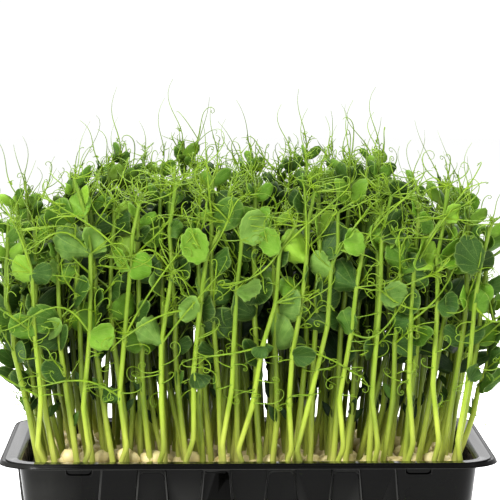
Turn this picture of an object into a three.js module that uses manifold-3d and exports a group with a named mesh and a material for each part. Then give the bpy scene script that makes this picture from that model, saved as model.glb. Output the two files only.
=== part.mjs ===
// A tray of pea shoots: a vacuum-formed tray, a mat of growing medium in it, and the leafy shoots
// that stand in the mat, each risen from the pea it was sown as.
// Millimetres, +Z up. The origin is the middle of the tray's base; the long side runs along X.
import * as THREE from "three";
import { mergeVertices } from "three/addons/utils/BufferGeometryUtils.js";
import Module from "manifold-3d";

const wasm = await Module();
wasm.setup();

// Tray
const RIM_LENGTH = 265;
const RIM_WIDTH = 162;
const TRAY_HEIGHT = 50;
const SHEET = 1.2;
const FLANGE = 10.3; // how far the rim stands out past the wall
const LIP_DROP = 3.2;
const BODY_CORNER = 14;
const WALL_DRAFT = THREE.MathUtils.degToRad(6.5);
const CORNER_STEPS = 4;
const RIB_PITCH = 34.1;
const RIB_WIDTH = 15;
const RIB_FLARE = 0.083; // how much each side of a rib leans out on its way down
const RIB_DEPTH = 2.2;
const RIB_BORDER = 1.65;
const FIELD_HALF = 77.7; // half the length of the raised field that carries the ribs
const FIELD_DEPTH = 1;
const POCKET_AT = 89.5;
const POCKET_WIDTH = 13.8;
const POCKET_DROP = 6;
const POCKET_DEPTH = 0.6;

// Growing medium
const BED_HEIGHT = 37;
const FIT_GAP = 0.4;
const ROOT_DEPTH = 12;
const ROOT_RADIUS = 1.3;
const HOLE_RADIUS = 2.1;

// Pea shoots
const SEED = 20261;
const PEA_RADII = [4.9, 4.6, 4.3];
const PEA_LIFT = 0.3;
const ROWS = [12, 11, 11, 11, 12]; // nodes in each row, front to back
const ROW_PITCH = 28;
const OUTER_ROW_HALF = 105.6;
const INNER_ROW_HALF = 108;
const TWIN_GAP = 8; // the two peas of a pair press into each other
const STEM_START = 4.5; // inside the pea
const STEM_FOOT_RADIUS = 1.9;
const STEM_TOP_RADIUS = 1.1;
const TENDRIL_RADIUS = 0.6;
const BLADE = 0.7;
const FAN_X = 0.12;
const FAN_Y = 0.22;
const SHORTEST = 126;
const TALLEST = 170;
const LEAF_FOOT = 6; // length of stem that a pair of leaves clasps
const END_FALL = 20; // how much lower the stand is at the ends of the tray
const FALL_FROM = 66;
const FALL_TO = 112;
const FALL_FOOT = BED_HEIGHT + 10; // above the peas

const draftInset = (z) => (TRAY_HEIGHT - z) * Math.tan(WALL_DRAFT);

// Park and Miller's generator, so that the same shoots grow every time
let drawn = SEED;
function draw(low, high) {
  drawn = (drawn * 16807) % 2147483647;
  return low + ((high - low) * drawn) / 2147483647;
}

function closedMesh(points, faces) {
  const geometry = new THREE.BufferGeometry();
  geometry.setAttribute("position", new THREE.Float32BufferAttribute(points.flat(), 3));
  geometry.setIndex(faces.flat());
  return geometry;
}

function toSolid(geometry) {
  const bare = geometry.clone();
  bare.deleteAttribute("normal");
  bare.deleteAttribute("uv");
  const merged = mergeVertices(bare, 1e-4);
  const vertProperties = new Float32Array(merged.attributes.position.array);
  const triVerts = new Uint32Array(merged.index.array);
  return new wasm.Manifold(new wasm.Mesh({ numProp: 3, vertProperties, triVerts }));
}

function toGeometry(solid) {
  const mesh = solid.getMesh();
  const geometry = new THREE.BufferGeometry();
  geometry.setAttribute("position", new THREE.Float32BufferAttribute(mesh.vertProperties, 3));
  geometry.setIndex(Array.from(mesh.triVerts));
  return geometry;
}

// The largest body of a join. Loose scraps and sealed hollows are left out.
function wholeBody(solid) {
  return solid.decompose().reduce((a, b) => (a.volume() > b.volume() ? a : b));
}

// One closed loop of points round a rectangle with round corners
function roundedLoop(halfX, halfY, corner, z) {
  const loop = [];
  [[1, 1], [-1, 1], [-1, -1], [1, -1]].forEach(([sx, sy], quarter) => {
    for (let i = 0; i <= CORNER_STEPS; i += 1) {
      const angle = ((quarter + i / CORNER_STEPS) * Math.PI) / 2;
      const x = sx * (halfX - corner) + corner * Math.cos(angle);
      const y = sy * (halfY - corner) + corner * Math.sin(angle);
      loop.push([x, y, z]);
    }
  });
  return loop;
}

// Joins loops with the same number of points into one skin, closed by a flat cap at each end
function skin(loops) {
  const count = loops[0].length;
  const faces = [];
  for (let ring = 0; ring + 1 < loops.length; ring += 1) {
    for (let i = 0; i < count; i += 1) {
      const a = ring * count + i;
      const b = ring * count + ((i + 1) % count);
      faces.push([a, b, b + count], [a, b + count, a + count]);
    }
  }
  const last = (loops.length - 1) * count;
  for (let i = 1; i + 1 < count; i += 1) {
    faces.push([0, i + 1, i], [last, last + i, last + i + 1]);
  }
  return closedMesh(loops.flat(), faces);
}

// ---- Tray: a thin sheet drawn down into a box, with its edge turned out and down into a lip
function trayShell() {
  const loop = (inset, z, corner) =>
    roundedLoop(RIM_LENGTH / 2 - inset, RIM_WIDTH / 2 - inset, corner, z);
  const rimCorner = BODY_CORNER + FLANGE;
  const foot = FLANGE + draftInset(0);
  const under = TRAY_HEIGHT - 0.6 - SHEET;
  return skin([
    loop(foot + 2, 0, BODY_CORNER - 2),
    loop(foot - 0.2, 1.8, BODY_CORNER),
    loop(FLANGE + draftInset(under), under, BODY_CORNER),
    loop(SHEET, under, rimCorner - SHEET),
    loop(SHEET, TRAY_HEIGHT - LIP_DROP, rimCorner - SHEET),
    loop(0, TRAY_HEIGHT - LIP_DROP, rimCorner),
    loop(0.4, TRAY_HEIGHT - 0.5, rimCorner - 0.4),
    loop(1.4, TRAY_HEIGHT, rimCorner - 1.4),
    loop(2.6, TRAY_HEIGHT - 0.6, rimCorner - 2.6),
    loop(FLANGE - 0.6, TRAY_HEIGHT - 0.6, BODY_CORNER + 0.6),
    loop(FLANGE + SHEET, under - 0.4, BODY_CORNER - SHEET),
    loop(foot + SHEET - 0.2, SHEET + 1.8, BODY_CORNER - SHEET),
    loop(foot + SHEET + 2, SHEET, BODY_CORNER - SHEET - 2),
  ]);
}

// Puts an outline drawn on a wall, x along it and y up from the rim, onto the slope of that wall.
// turn is the wall's direction, reach its distance from the middle at rim height.
function onWall(shape, depth, sunk, turn, reach) {
  const geometry = new THREE.ExtrudeGeometry(shape, { depth: depth + sunk, bevelEnabled: false });
  geometry.translate(0, 0, -sunk);
  geometry.rotateX(Math.PI / 2 + WALL_DRAFT);
  geometry.translate(0, -reach, TRAY_HEIGHT);
  geometry.rotateZ(turn);
  return toSolid(geometry);
}

function ribOutline(at, halfTop, top, bottom) {
  const lean = (bottom - top) * RIB_FLARE;
  return new THREE.Shape([
    new THREE.Vector2(at - halfTop - lean, -bottom),
    new THREE.Vector2(at + halfTop + lean, -bottom),
    new THREE.Vector2(at + halfTop, -top),
    new THREE.Vector2(at - halfTop, -top),
  ]);
}

// The sunk panel inside a rib, with its top corners cut off
function ribPanel(at, halfTop, top, bottom) {
  const lean = (bottom - top) * RIB_FLARE;
  const cut = 2.2;
  return new THREE.Shape([
    new THREE.Vector2(at - halfTop - lean, -bottom),
    new THREE.Vector2(at + halfTop + lean, -bottom),
    new THREE.Vector2(at + halfTop, -top - cut),
    new THREE.Vector2(at + halfTop - cut, -top),
    new THREE.Vector2(at - halfTop + cut, -top),
    new THREE.Vector2(at - halfTop, -top - cut),
  ]);
}

function pocketOutline(at) {
  const half = POCKET_WIDTH / 2;
  const top = LIP_DROP - 1;
  const bottom = top + POCKET_DROP;
  const cut = 2;
  return new THREE.Shape([
    new THREE.Vector2(at - half + cut, -bottom),
    new THREE.Vector2(at + half - cut, -bottom),
    new THREE.Vector2(at + half, -bottom + cut),
    new THREE.Vector2(at + half, -top),
    new THREE.Vector2(at - half, -top),
    new THREE.Vector2(at - half, -bottom + cut),
  ]);
}

// Each wall has a raised field with ribs on it; the long walls also have two nesting pockets.
// Field and ribs run up into the flange, so that no slit is left under it.
function tray() {
  let body = toSolid(trayShell());
  const long = { reach: RIM_WIDTH / 2 - FLANGE, field: FIELD_HALF, ribs: [-1.5, -0.5, 0.5, 1.5] };
  const short = { reach: RIM_LENGTH / 2 - FLANGE, field: RIB_PITCH + 3, ribs: [-0.5, 0.5] };
  const top = 1.2;
  const bottom = TRAY_HEIGHT - 4;
  const proud = FIELD_DEPTH + RIB_DEPTH;
  for (const { wall, turn } of [
    { wall: long, turn: 0 },
    { wall: long, turn: Math.PI },
    { wall: short, turn: Math.PI / 2 },
    { wall: short, turn: -Math.PI / 2 },
  ]) {
    const field = ribOutline(0, wall.field, top, bottom);
    body = body.add(onWall(field, FIELD_DEPTH, SHEET / 2, turn, wall.reach));
    for (const place of wall.ribs) {
      const at = place * RIB_PITCH;
      const rib = ribOutline(at, RIB_WIDTH / 2, top, bottom - 1);
      const panel = ribPanel(at, RIB_WIDTH / 2 - RIB_BORDER, LIP_DROP + 1.9, bottom - 3);
      body = body.add(onWall(rib, proud, SHEET / 2, turn, wall.reach));
      body = body.subtract(onWall(panel, proud + 1, -FIELD_DEPTH, turn, wall.reach));
    }
    for (const side of wall === long ? [-1, 1] : []) {
      const pocket = pocketOutline(side * POCKET_AT);
      body = body.subtract(onWall(pocket, 1, POCKET_DEPTH, turn, wall.reach));
    }
  }
  return toGeometry(wholeBody(body));
}

// ---- Clearance: every piece that grows is sampled by balls, so that what grows next keeps clear
const CELL = 8; // at least the sum of the two largest balls
const STEM_BALL = 2.6;
const LEAF_BALL = 2.3;
const THREAD_BALL = 1.8;
const grown = new Map();
const cellOf = (value) => Math.floor(value / CELL);
const keyOf = (i, j, k) => (i * 512 + j) * 512 + k;

function isClear(balls, owner) {
  for (const [x, y, z, r] of balls) {
    const [ci, cj, ck] = [cellOf(x), cellOf(y), cellOf(z)];
    for (let i = ci - 1; i <= ci + 1; i += 1) {
      for (let j = cj - 1; j <= cj + 1; j += 1) {
        for (let k = ck - 1; k <= ck + 1; k += 1) {
          for (const other of grown.get(keyOf(i, j, k)) ?? []) {
            const near = r + other[3];
            const gap = (x - other[0]) ** 2 + (y - other[1]) ** 2 + (z - other[2]) ** 2;
            if (other[4] !== owner && gap < near * near) return false;
          }
        }
      }
    }
  }
  return true;
}

function keep(balls, owner) {
  for (const [x, y, z, r] of balls) {
    const key = keyOf(cellOf(x), cellOf(y), cellOf(z));
    if (!grown.has(key)) grown.set(key, []);
    grown.get(key).push([x, y, z, r, owner]);
  }
}

// ---- Shoots: where each one stands, how it leans, and the frame of any point up its stem
function stemPoint(shoot, t) {
  const lean = 1 - (1 - t) * (1 - t);
  const sway = shoot.sway * Math.sin(Math.PI * 2 * t + shoot.phase) * t;
  return new THREE.Vector3(
    shoot.x + shoot.leanX * lean + sway * Math.cos(shoot.swayTurn),
    shoot.y + shoot.leanY * lean + sway * Math.sin(shoot.swayTurn),
    BED_HEIGHT + STEM_START + shoot.height * t,
  );
}

function stemBalls(shoot) {
  const steps = Math.ceil(shoot.height / 3);
  const balls = [];
  for (let i = 0; i <= steps; i += 1) {
    balls.push([...stemPoint(shoot, i / steps).toArray(), STEM_BALL]);
  }
  return balls;
}

// Pairs stand along the front, at both ends of every row and at every other place at the back
function footPlaces() {
  const places = [];
  const last = ROWS.length - 1;
  ROWS.forEach((count, row) => {
    const outer = row === 0 || row === last;
    const half = outer ? OUTER_ROW_HALF : INNER_ROW_HALF;
    for (let i = 0; i < count; i += 1) {
      const end = i === 0 || i === count - 1;
      const x = -half + (2 * half * i) / (count - 1) + draw(-0.6, 0.6);
      const y = (row - last / 2) * ROW_PITCH + (outer ? draw(-2, 2) : draw(-5, 5));
      const twins = row === 0 || end || (row === last && i % 2 === 0);
      places.push({ x, y, twins, edge: outer || end, turn: end && !outer ? 1.4 : 0 });
    }
  });
  return places;
}

function growStems() {
  const shoots = [];
  footPlaces().forEach((place, node) => {
    const turn = place.turn + draw(-0.3, 0.3);
    for (const side of place.twins ? [-0.5, 0.5] : [0]) {
      const x = place.x + side * TWIN_GAP * Math.cos(turn);
      const y = place.y + side * TWIN_GAP * Math.sin(turn);
      const owner = shoots.length;
      const shoot = findPlace(owner, () => {
        const tried = {
          x, y, node, owner, edge: place.edge, base: turn, leaves: [],
          height: draw(SHORTEST, TALLEST),
          leanX: x * FAN_X + draw(-4, 4),
          leanY: y * FAN_Y + draw(-5, 5),
          sway: draw(0.5, 2.5),
          phase: draw(0, 6.28),
          swayTurn: draw(0, 6.28),
        };
        return { ...tried, balls: stemBalls(tried) };
      });
      shoots.push(shoot);
    }
  });
  return shoots;
}

// ---- Skins: a shoot is grown as one closed skin of three-sided rings
const TURN_STEP = (2 * Math.PI) / 3;
const UP = new THREE.Vector3(0, 0, 1);
const level = (angle) => new THREE.Vector3(Math.cos(angle), Math.sin(angle), 0);

function ring(shape, center, across, along, radius) {
  const other = along.clone().cross(across);
  return [0, 1, 2].map((k) => {
    const point = center.clone()
      .addScaledVector(across, Math.cos(k * TURN_STEP) * radius)
      .addScaledVector(other, Math.sin(k * TURN_STEP) * radius);
    return shape.points.push(point.toArray()) - 1;
  });
}

function bridge(shape, low, high, sides = [0, 1, 2]) {
  for (const k of sides) {
    const n = (k + 1) % 3;
    shape.faces.push([low[k], low[n], high[n]], [low[k], high[n], high[k]]);
  }
}

// A level ring round a root, turned as the underside of its pea is
function rootRing(shape, shoot, z, radius) {
  const across = level(shoot.base + TURN_STEP / 2);
  return ring(shape, new THREE.Vector3(shoot.x, shoot.y, z), across, UP, radius);
}

// A thread that grows out of three corners of a skin, through a list of points, to a sharp tip.
// Its rings start from the first corner, so that the foot isn't wrung.
function growThread(shape, corners, points, radius) {
  const [first, second, third] = corners.map((k) => new THREE.Vector3(...shape.points[k]));
  const middle = first.clone().add(second).add(third).divideScalar(3);
  const across = first.sub(middle);
  let low = corners;
  for (let i = 1; i + 1 < points.length; i += 1) {
    const along = points[i + 1].clone().sub(points[i - 1]).normalize();
    across.addScaledVector(along, -across.dot(along)).normalize();
    const high = ring(shape, points[i], across, along, radius);
    bridge(shape, low, high);
    low = high;
  }
  const tip = shape.points.push(points[points.length - 1].toArray()) - 1;
  for (let k = 0; k < 3; k += 1) shape.faces.push([low[k], low[(k + 1) % 3], tip]);
}

// ---- Peas: twenty-sided, open above where the stem leaves and below where the root does
const PEA_RINGS = [[0.607, 0.795, 0], [0.982, 0.188, 0.5], [0.982, -0.188, 0], [0.607, -0.795, 0.5]];

function growPea(shape, shoot) {
  const center = new THREE.Vector3(shoot.x, shoot.y, BED_HEIGHT + PEA_LIFT + PEA_RADII[2]);
  const [T, U, L, B] = PEA_RINGS.map(([wide, high, half]) => [0, 1, 2].map((k) => {
    const angle = shoot.base + (k + half) * TURN_STEP;
    return shape.points.push([
      center.x + PEA_RADII[0] * wide * Math.cos(angle),
      center.y + PEA_RADII[1] * wide * Math.sin(angle),
      center.z + PEA_RADII[2] * high,
    ]) - 1;
  }));
  for (let k = 0; k < 3; k += 1) {
    const n = (k + 1) % 3;
    shape.faces.push([T[k], U[k], T[n]], [T[k], L[k], U[k]], [T[n], U[k], L[n]]);
    shape.faces.push([U[k], L[k], B[k]], [U[k], B[k], L[n]], [L[n], B[k], B[n]]);
  }
  return { top: T, bottom: B };
}

// ---- Stipules: at each leaf node a pair of broad half-hearts clasps the stem
// Corners of one half-heart, as distance out from the stem, height, and bow off its plane
const LOBE = [[3.5, -7.5, 1.2], [11, -5, 0.4], [13.5, 2.5, -1.2], [7.5, 11, 0.6]];

function lobeCorners(shoot, leaf, wing) {
  const at = stemPoint(shoot, leaf.t);
  const up = stemPoint(shoot, leaf.t + 0.02).sub(stemPoint(shoot, leaf.t - 0.02)).normalize();
  const angle = leaf.turn + wing * leaf.spread;
  const axis = level(angle);
  const normal = axis.clone().cross(up).normalize();
  const tilted = up.clone().addScaledVector(axis, leaf.tilt).normalize();
  return {
    normal,
    corners: LOBE.map(([far, high, bow]) => at.clone()
      .addScaledVector(axis, far * leaf.size)
      .addScaledVector(tilted, high * leaf.size)
      .addScaledVector(normal, bow * leaf.size * -wing)),
  };
}

// One blade grows out of one side of the stem, between the rings below and above it
function growLobe(shape, low, high, side, lobe) {
  const n = (side + 1) % 3;
  const put = (lift) => lobe.corners.map(
    (corner) => shape.points.push(corner.clone().addScaledVector(lobe.normal, lift).toArray()) - 1,
  );
  const front = [high[side], low[side], ...put(BLADE / 2)];
  const back = [high[n], low[n], ...put(-BLADE / 2)];
  const count = front.length;
  for (let i = 2; i + 1 < count; i += 1) {
    shape.faces.push([front[1], front[i], front[i + 1]], [back[1], back[i + 1], back[i]]);
  }
  shape.faces.push([front[1], front[count - 1], front[0]], [back[1], back[0], back[count - 1]]);
  for (let i = 1; i < count; i += 1) {
    const j = (i + 1) % count;
    shape.faces.push([front[j], front[i], back[i]], [front[j], back[i], back[j]]);
  }
}

function lobeTriangles(shoot, leaf, wing) {
  const at = stemPoint(shoot, leaf.t);
  const { corners } = lobeCorners(shoot, leaf, wing);
  return corners.slice(1).map((corner, i) => [at, corners[i], corner]);
}

// Balls over every triangle of a sheet, close enough together to leave no way through
function sheetBalls(triangles) {
  const balls = [];
  for (const [a, b, c] of triangles) {
    const longest = Math.max(a.distanceTo(b), b.distanceTo(c), c.distanceTo(a));
    const steps = Math.max(1, Math.ceil(longest / 3.2));
    for (let i = 0; i <= steps; i += 1) {
      for (let j = 0; i + j <= steps; j += 1) {
        const point = a.clone().multiplyScalar(1 - (i + j) / steps);
        point.addScaledVector(b, i / steps).addScaledVector(c, j / steps);
        balls.push([...point.toArray(), LEAF_BALL]);
      }
    }
  }
  return balls;
}

// ---- Tendrils: a leaf node also carries a stalk that ends in a curling thread
function threadPoints(start, turn, reach, rise) {
  const out = level(turn);
  return [[0, 0], [0.45, 0.5], [0.9, 0.8], [1, 1.35]].map(([far, high]) =>
    start.clone().addScaledVector(out, far * reach).add(new THREE.Vector3(0, 0, high * rise)));
}

function threadBalls(points) {
  const balls = [];
  for (let i = 0; i + 1 < points.length; i += 1) {
    const steps = Math.ceil(points[i].distanceTo(points[i + 1]) / 2.5);
    for (let k = 0; k <= steps; k += 1) {
      balls.push([...points[i].clone().lerp(points[i + 1], k / steps).toArray(), THREAD_BALL]);
    }
  }
  return balls;
}

// Tries up to 60 places and keeps the first that is clear of every other shoot
function findPlace(owner, propose) {
  for (let attempt = 0; attempt < 60; attempt += 1) {
    const found = propose();
    if (isClear(found.balls, owner)) {
      keep(found.balls, owner);
      return found;
    }
  }
  return null;
}

function growLeads(shoots) {
  for (const shoot of shoots) {
    shoot.lead = findPlace(shoot.owner, () => {
      const points = threadPoints(stemPoint(shoot, 1), draw(0, 6.28), draw(3, 12), draw(16, 28));
      return { points, balls: threadBalls(points) };
    });
  }
}

function growLeaves(shoots, lowest, highest, smallest, largest) {
  for (const shoot of shoots) {
    const outward = Math.atan2(shoot.y * 2, shoot.x);
    const leaf = findPlace(shoot.owner, () => {
      const tried = {
        t: draw(lowest, highest),
        turn: outward + draw(-2.6, 2.6),
        spread: draw(0.7, 1.3),
        tilt: draw(0.1, 0.6),
        size: draw(smallest, largest),
      };
      const triangles = [...lobeTriangles(shoot, tried, 1), ...lobeTriangles(shoot, tried, -1)];
      return { ...tried, balls: sheetBalls(triangles) };
    });
    if (leaf) shoot.leaves.push(leaf);
  }
}

function growTendrils(shoots) {
  for (const shoot of shoots) {
    for (const leaf of shoot.leaves.slice(0, shoot.edge ? 2 : 1)) {
      const start = stemPoint(shoot, leaf.t);
      leaf.thread = findPlace(shoot.owner, () => {
        const turn = leaf.turn + Math.PI + draw(-0.5, 0.5);
        const points = threadPoints(start, turn, draw(9, 17), draw(8, 18));
        return { points, balls: threadBalls(points) };
      });
    }
  }
}

// Towards the ends of the tray the grown skins are drawn down, more the higher they reach. The rule
// is smooth and goes by place alone, so nothing folds, and the middle of the stand isn't touched.
function drawnDown([x, y, z]) {
  const share = THREE.MathUtils.smoothstep(Math.abs(x), FALL_FROM, FALL_TO);
  const rise = Math.max(0, z - FALL_FOOT) / TALLEST;
  return [x, y, z - END_FALL * share * rise];
}

function shootSolid(shoot) {
  const shape = { points: [], faces: [] };
  const root = rootRing(shape, shoot, BED_HEIGHT - ROOT_DEPTH, ROOT_RADIUS);
  const neck = rootRing(shape, shoot, BED_HEIGHT + PEA_LIFT, ROOT_RADIUS);
  const seed = growPea(shape, shoot);
  shape.faces.push([root[0], root[2], root[1]]);
  bridge(shape, root, neck);
  bridge(shape, neck, seed.bottom);

  let low = seed.top;
  let base = shoot.base;
  const climb = (t, angle) => {
    // turns the ring to the nearest of its three like positions
    const turned = angle - Math.round((angle - base) / TURN_STEP) * TURN_STEP;
    const radius = STEM_FOOT_RADIUS + (STEM_TOP_RADIUS - STEM_FOOT_RADIUS) * t;
    base = turned;
    return ring(shape, stemPoint(shoot, t), level(turned), UP, radius);
  };
  for (const t of [0.04, 0.2]) {
    const high = climb(t, base);
    bridge(shape, low, high);
    low = high;
  }
  const halfFoot = LEAF_FOOT / 2 / shoot.height;
  for (const leaf of [...shoot.leaves].sort((a, b) => a.t - b.t)) {
    const angle = leaf.turn - Math.PI / 2 - TURN_STEP / 4;
    const lower = climb(leaf.t - halfFoot, angle);
    bridge(shape, low, lower);
    const upper = climb(leaf.t + halfFoot, angle);
    const sideAt = (direction) => {
      const turns = (direction - base) / TURN_STEP - 0.5;
      return ((Math.round(turns) % 3) + 3) % 3;
    };
    const right = sideAt(leaf.turn - Math.PI / 3);
    const left = sideAt(leaf.turn + Math.PI / 3);
    const rear = 3 - right - left;
    growLobe(shape, lower, upper, right, lobeCorners(shoot, leaf, -1));
    growLobe(shape, lower, upper, left, lobeCorners(shoot, leaf, 1));
    const next = (rear + 1) % 3;
    if (leaf.thread) {
      growThread(shape, [upper[next], lower[rear], lower[next]], leaf.thread.points, TENDRIL_RADIUS);
      shape.faces.push([lower[rear], upper[next], upper[rear]]);
    } else {
      bridge(shape, lower, upper, [rear]);
    }
    low = upper;
  }
  const crown = climb(1, base);
  bridge(shape, low, crown);
  growThread(shape, crown, shoot.lead.points, TENDRIL_RADIUS);
  return toSolid(closedMesh(shape.points.map(drawnDown), shape.faces));
}

function shootNode(shoots) {
  return toGeometry(wholeBody(shoots.map(shootSolid).reduce((all, one) => all.add(one))));
}

// ---- Growing medium: a mat that fills the tray, with a plain hole for each root
function growingMedium(shoots) {
  const inset = (z) => FLANGE + draftInset(z) + SHEET + FIT_GAP;
  const loop = (extra, z) => {
    const corner = BODY_CORNER - SHEET - FIT_GAP - extra;
    return roundedLoop(RIM_LENGTH / 2 - inset(z) - extra, RIM_WIDTH / 2 - inset(z) - extra, corner, z);
  };
  const floor = SHEET + FIT_GAP;
  let mat = toSolid(skin([
    loop(3, floor),
    loop(0.6, floor + 3),
    loop(0.2, BED_HEIGHT - 1.5),
    loop(1.5, BED_HEIGHT),
  ]));
  for (const shoot of shoots) {
    const hole = { points: [], faces: [] };
    const low = rootRing(hole, shoot, BED_HEIGHT - ROOT_DEPTH - 1, HOLE_RADIUS);
    const high = rootRing(hole, shoot, BED_HEIGHT + 1, HOLE_RADIUS);
    bridge(hole, low, high);
    hole.faces.push([low[0], low[2], low[1]], [high[0], high[1], high[2]]);
    mat = mat.subtract(toSolid(closedMesh(hole.points, hole.faces)));
  }
  return toGeometry(wholeBody(mat));
}

// ---- The whole object
const plastic = new THREE.MeshStandardMaterial({ color: 0x1c1c1b, roughness: 0.35, metalness: 0 });
const soil = new THREE.MeshStandardMaterial({ color: 0x3a2818, roughness: 0.95, metalness: 0 });
const leafGreens = [0x6f9a2c, 0x5c8a2e, 0x84ac3a, 0x4c7a2a].map(
  (color) => new THREE.MeshStandardMaterial({ color, roughness: 0.55, metalness: 0 }),
);

function named(name, geometry, material) {
  const mesh = new THREE.Mesh(geometry, material);
  mesh.name = name;
  return mesh;
}

const shoots = growStems();
growLeads(shoots);
growLeaves(shoots, 0.84, 0.93, 0.6, 0.8);
growLeaves(shoots, 0.6, 0.75, 0.8, 1.1);
const lowLeaved = shoots.filter((shoot) => shoot.edge && shoot.owner % 2 === 0);
growLeaves(lowLeaved, 0.36, 0.52, 0.75, 1);
growTendrils(shoots);

const object = new THREE.Group();
object.add(named("tray", tray(), plastic));
object.add(named("growing_medium", growingMedium(shoots), soil));
for (const node of new Set(shoots.map((shoot) => shoot.node))) {
  const number = String(node + 1).padStart(2, "0");
  const own = shoots.filter((shoot) => shoot.node === node);
  object.add(named(`shoots_${number}`, shootNode(own), leafGreens[node % leafGreens.length]));
}

export default object;
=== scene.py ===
import math
import random

import bmesh
import bpy
from mathutils import Matrix, Quaternion, Vector, noise


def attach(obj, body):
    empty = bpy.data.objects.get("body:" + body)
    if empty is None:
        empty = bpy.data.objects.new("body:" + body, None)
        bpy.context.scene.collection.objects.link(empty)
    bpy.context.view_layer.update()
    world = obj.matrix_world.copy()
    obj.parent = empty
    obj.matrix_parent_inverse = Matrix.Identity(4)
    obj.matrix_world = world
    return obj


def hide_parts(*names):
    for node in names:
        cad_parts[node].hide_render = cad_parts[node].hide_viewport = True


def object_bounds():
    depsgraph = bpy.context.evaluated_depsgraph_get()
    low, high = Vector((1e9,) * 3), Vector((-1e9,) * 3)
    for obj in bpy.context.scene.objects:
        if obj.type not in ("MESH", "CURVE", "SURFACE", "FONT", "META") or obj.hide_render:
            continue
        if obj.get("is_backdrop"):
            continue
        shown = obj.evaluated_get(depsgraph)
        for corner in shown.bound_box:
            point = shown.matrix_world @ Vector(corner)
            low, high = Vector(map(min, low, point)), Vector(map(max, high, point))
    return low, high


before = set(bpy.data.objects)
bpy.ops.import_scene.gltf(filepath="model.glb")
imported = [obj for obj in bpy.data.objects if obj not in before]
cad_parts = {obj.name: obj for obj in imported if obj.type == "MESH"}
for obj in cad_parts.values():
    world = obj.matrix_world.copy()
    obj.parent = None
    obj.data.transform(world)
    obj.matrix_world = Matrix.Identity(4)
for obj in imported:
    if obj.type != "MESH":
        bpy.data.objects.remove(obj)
cad_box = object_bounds()


# ---- Tray: a sheet of black plastic drawn down over a mould. Its ribs, panels and nesting pockets
# go right through the sheet, and its edge is turned out into a rim and down into a lip.
RIM_LENGTH, RIM_WIDTH, TRAY_HEIGHT = 265, 162, 50
SHEET = 1.2
FLANGE = 10.3
LIP_DROP = 3.2
BODY_CORNER = 14
CORNER_POINTS = 9
WALL_DRAFT = math.radians(6.5)
RIB_PITCH, RIB_WIDTH, RIB_FLARE, RIB_DEPTH = 34.1, 15, 0.083, 2.2
FIELD_HALF, FIELD_DEPTH = 77.7, 1
POCKET_AT, POCKET_WIDTH, POCKET_DROP, POCKET_DEPTH = 89.5, 13.8, 6, 1.1
FIELD_TOP, FIELD_FOOT, FIELD_LEAN = 1.2, 4, 0.35
PANEL_INSET, PANEL_RISE, DRAWN_LEAN = 0.75, 0.2, 0.5
HOLLOW_ROUNDING = 2
# How far the sheet must bulge before its edges are painted pale, partly as scuffs and partly as a painted
# highlight, and how fast they pale beyond that.
SCUFF_HIGHLIGHT_FROM, SCUFF_HIGHLIGHT_GAIN = 0.16, 3
UP = Vector((0, 0, 1))


def draft_inset(z):
    return (TRAY_HEIGHT - z) * math.tan(WALL_DRAFT)


def kept(low, value, high):
    """The value, kept between two others."""
    return max(low, min(high, value))


def lay_loop(verts, mark, inset, z, corner):
    """Lays a loop of points on the rim's outline, drawn in by inset.

    Each point's mark holds its corner and its share of that corner's turn.
    """
    for vert in verts:
        quarter, share = divmod(vert[mark], 2)
        angle = (quarter + share) * math.pi / 2
        side_x, side_y = (1 if quarter in (0, 3) else -1), (1 if quarter < 2 else -1)
        vert.co = (
            side_x * (RIM_LENGTH / 2 - inset - corner) + corner * math.cos(angle),
            side_y * (RIM_WIDTH / 2 - inset - corner) + corner * math.sin(angle),
            z,
        )


def rounded_floor(bm, inset, z, corner):
    """A flat sheet with round corners, as the first face of a tray-shaped piece."""
    mark = bm.verts.layers.float.new("mark")
    bmesh.ops.create_circle(bm, cap_ends=True, segments=4 * CORNER_POINTS, radius=1)
    step = math.pi / 2 / CORNER_POINTS
    for vert in bm.verts:
        turned = math.atan2(vert.co.y, vert.co.x) % (2 * math.pi)
        quarter, i = divmod(round(turned / step) % (4 * CORNER_POINTS), CORNER_POINTS)
        vert[mark] = quarter * 2 + i / (CORNER_POINTS - 1)
    lay_loop(bm.verts, mark, inset, z, corner)
    return mark


def raise_wall(bm, mark, loops):
    """Draws the open edge of a sheet on through loops of (inset, height, corner)."""
    for inset, z, corner in loops:
        edges = [edge for edge in bm.edges if len(edge.link_faces) < 2]
        made = bmesh.ops.extrude_edge_only(bm, edges=edges)["geom"]
        lay_loop([v for v in made if isinstance(v, bmesh.types.BMVert)], mark, inset, z, corner)


def cut(bm, faces, point, normal):
    """Cuts faces along a plane, and returns all their parts."""
    around = {edge for face in faces for edge in face.edges}
    around |= {vert for face in faces for vert in face.verts}
    got = bmesh.ops.bisect_plane(bm, geom=[*faces, *around], plane_co=point, plane_no=normal)
    return [part for part in got["geom"] if isinstance(part, bmesh.types.BMFace)]


def emboss(bm, faces, slope, depth):
    """Raises a group of faces by depth, with sides that lean in by slope."""
    bmesh.ops.inset_region(
        bm, faces=faces, thickness=slope, depth=depth, use_boundary=True, use_even_offset=True
    )


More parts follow.
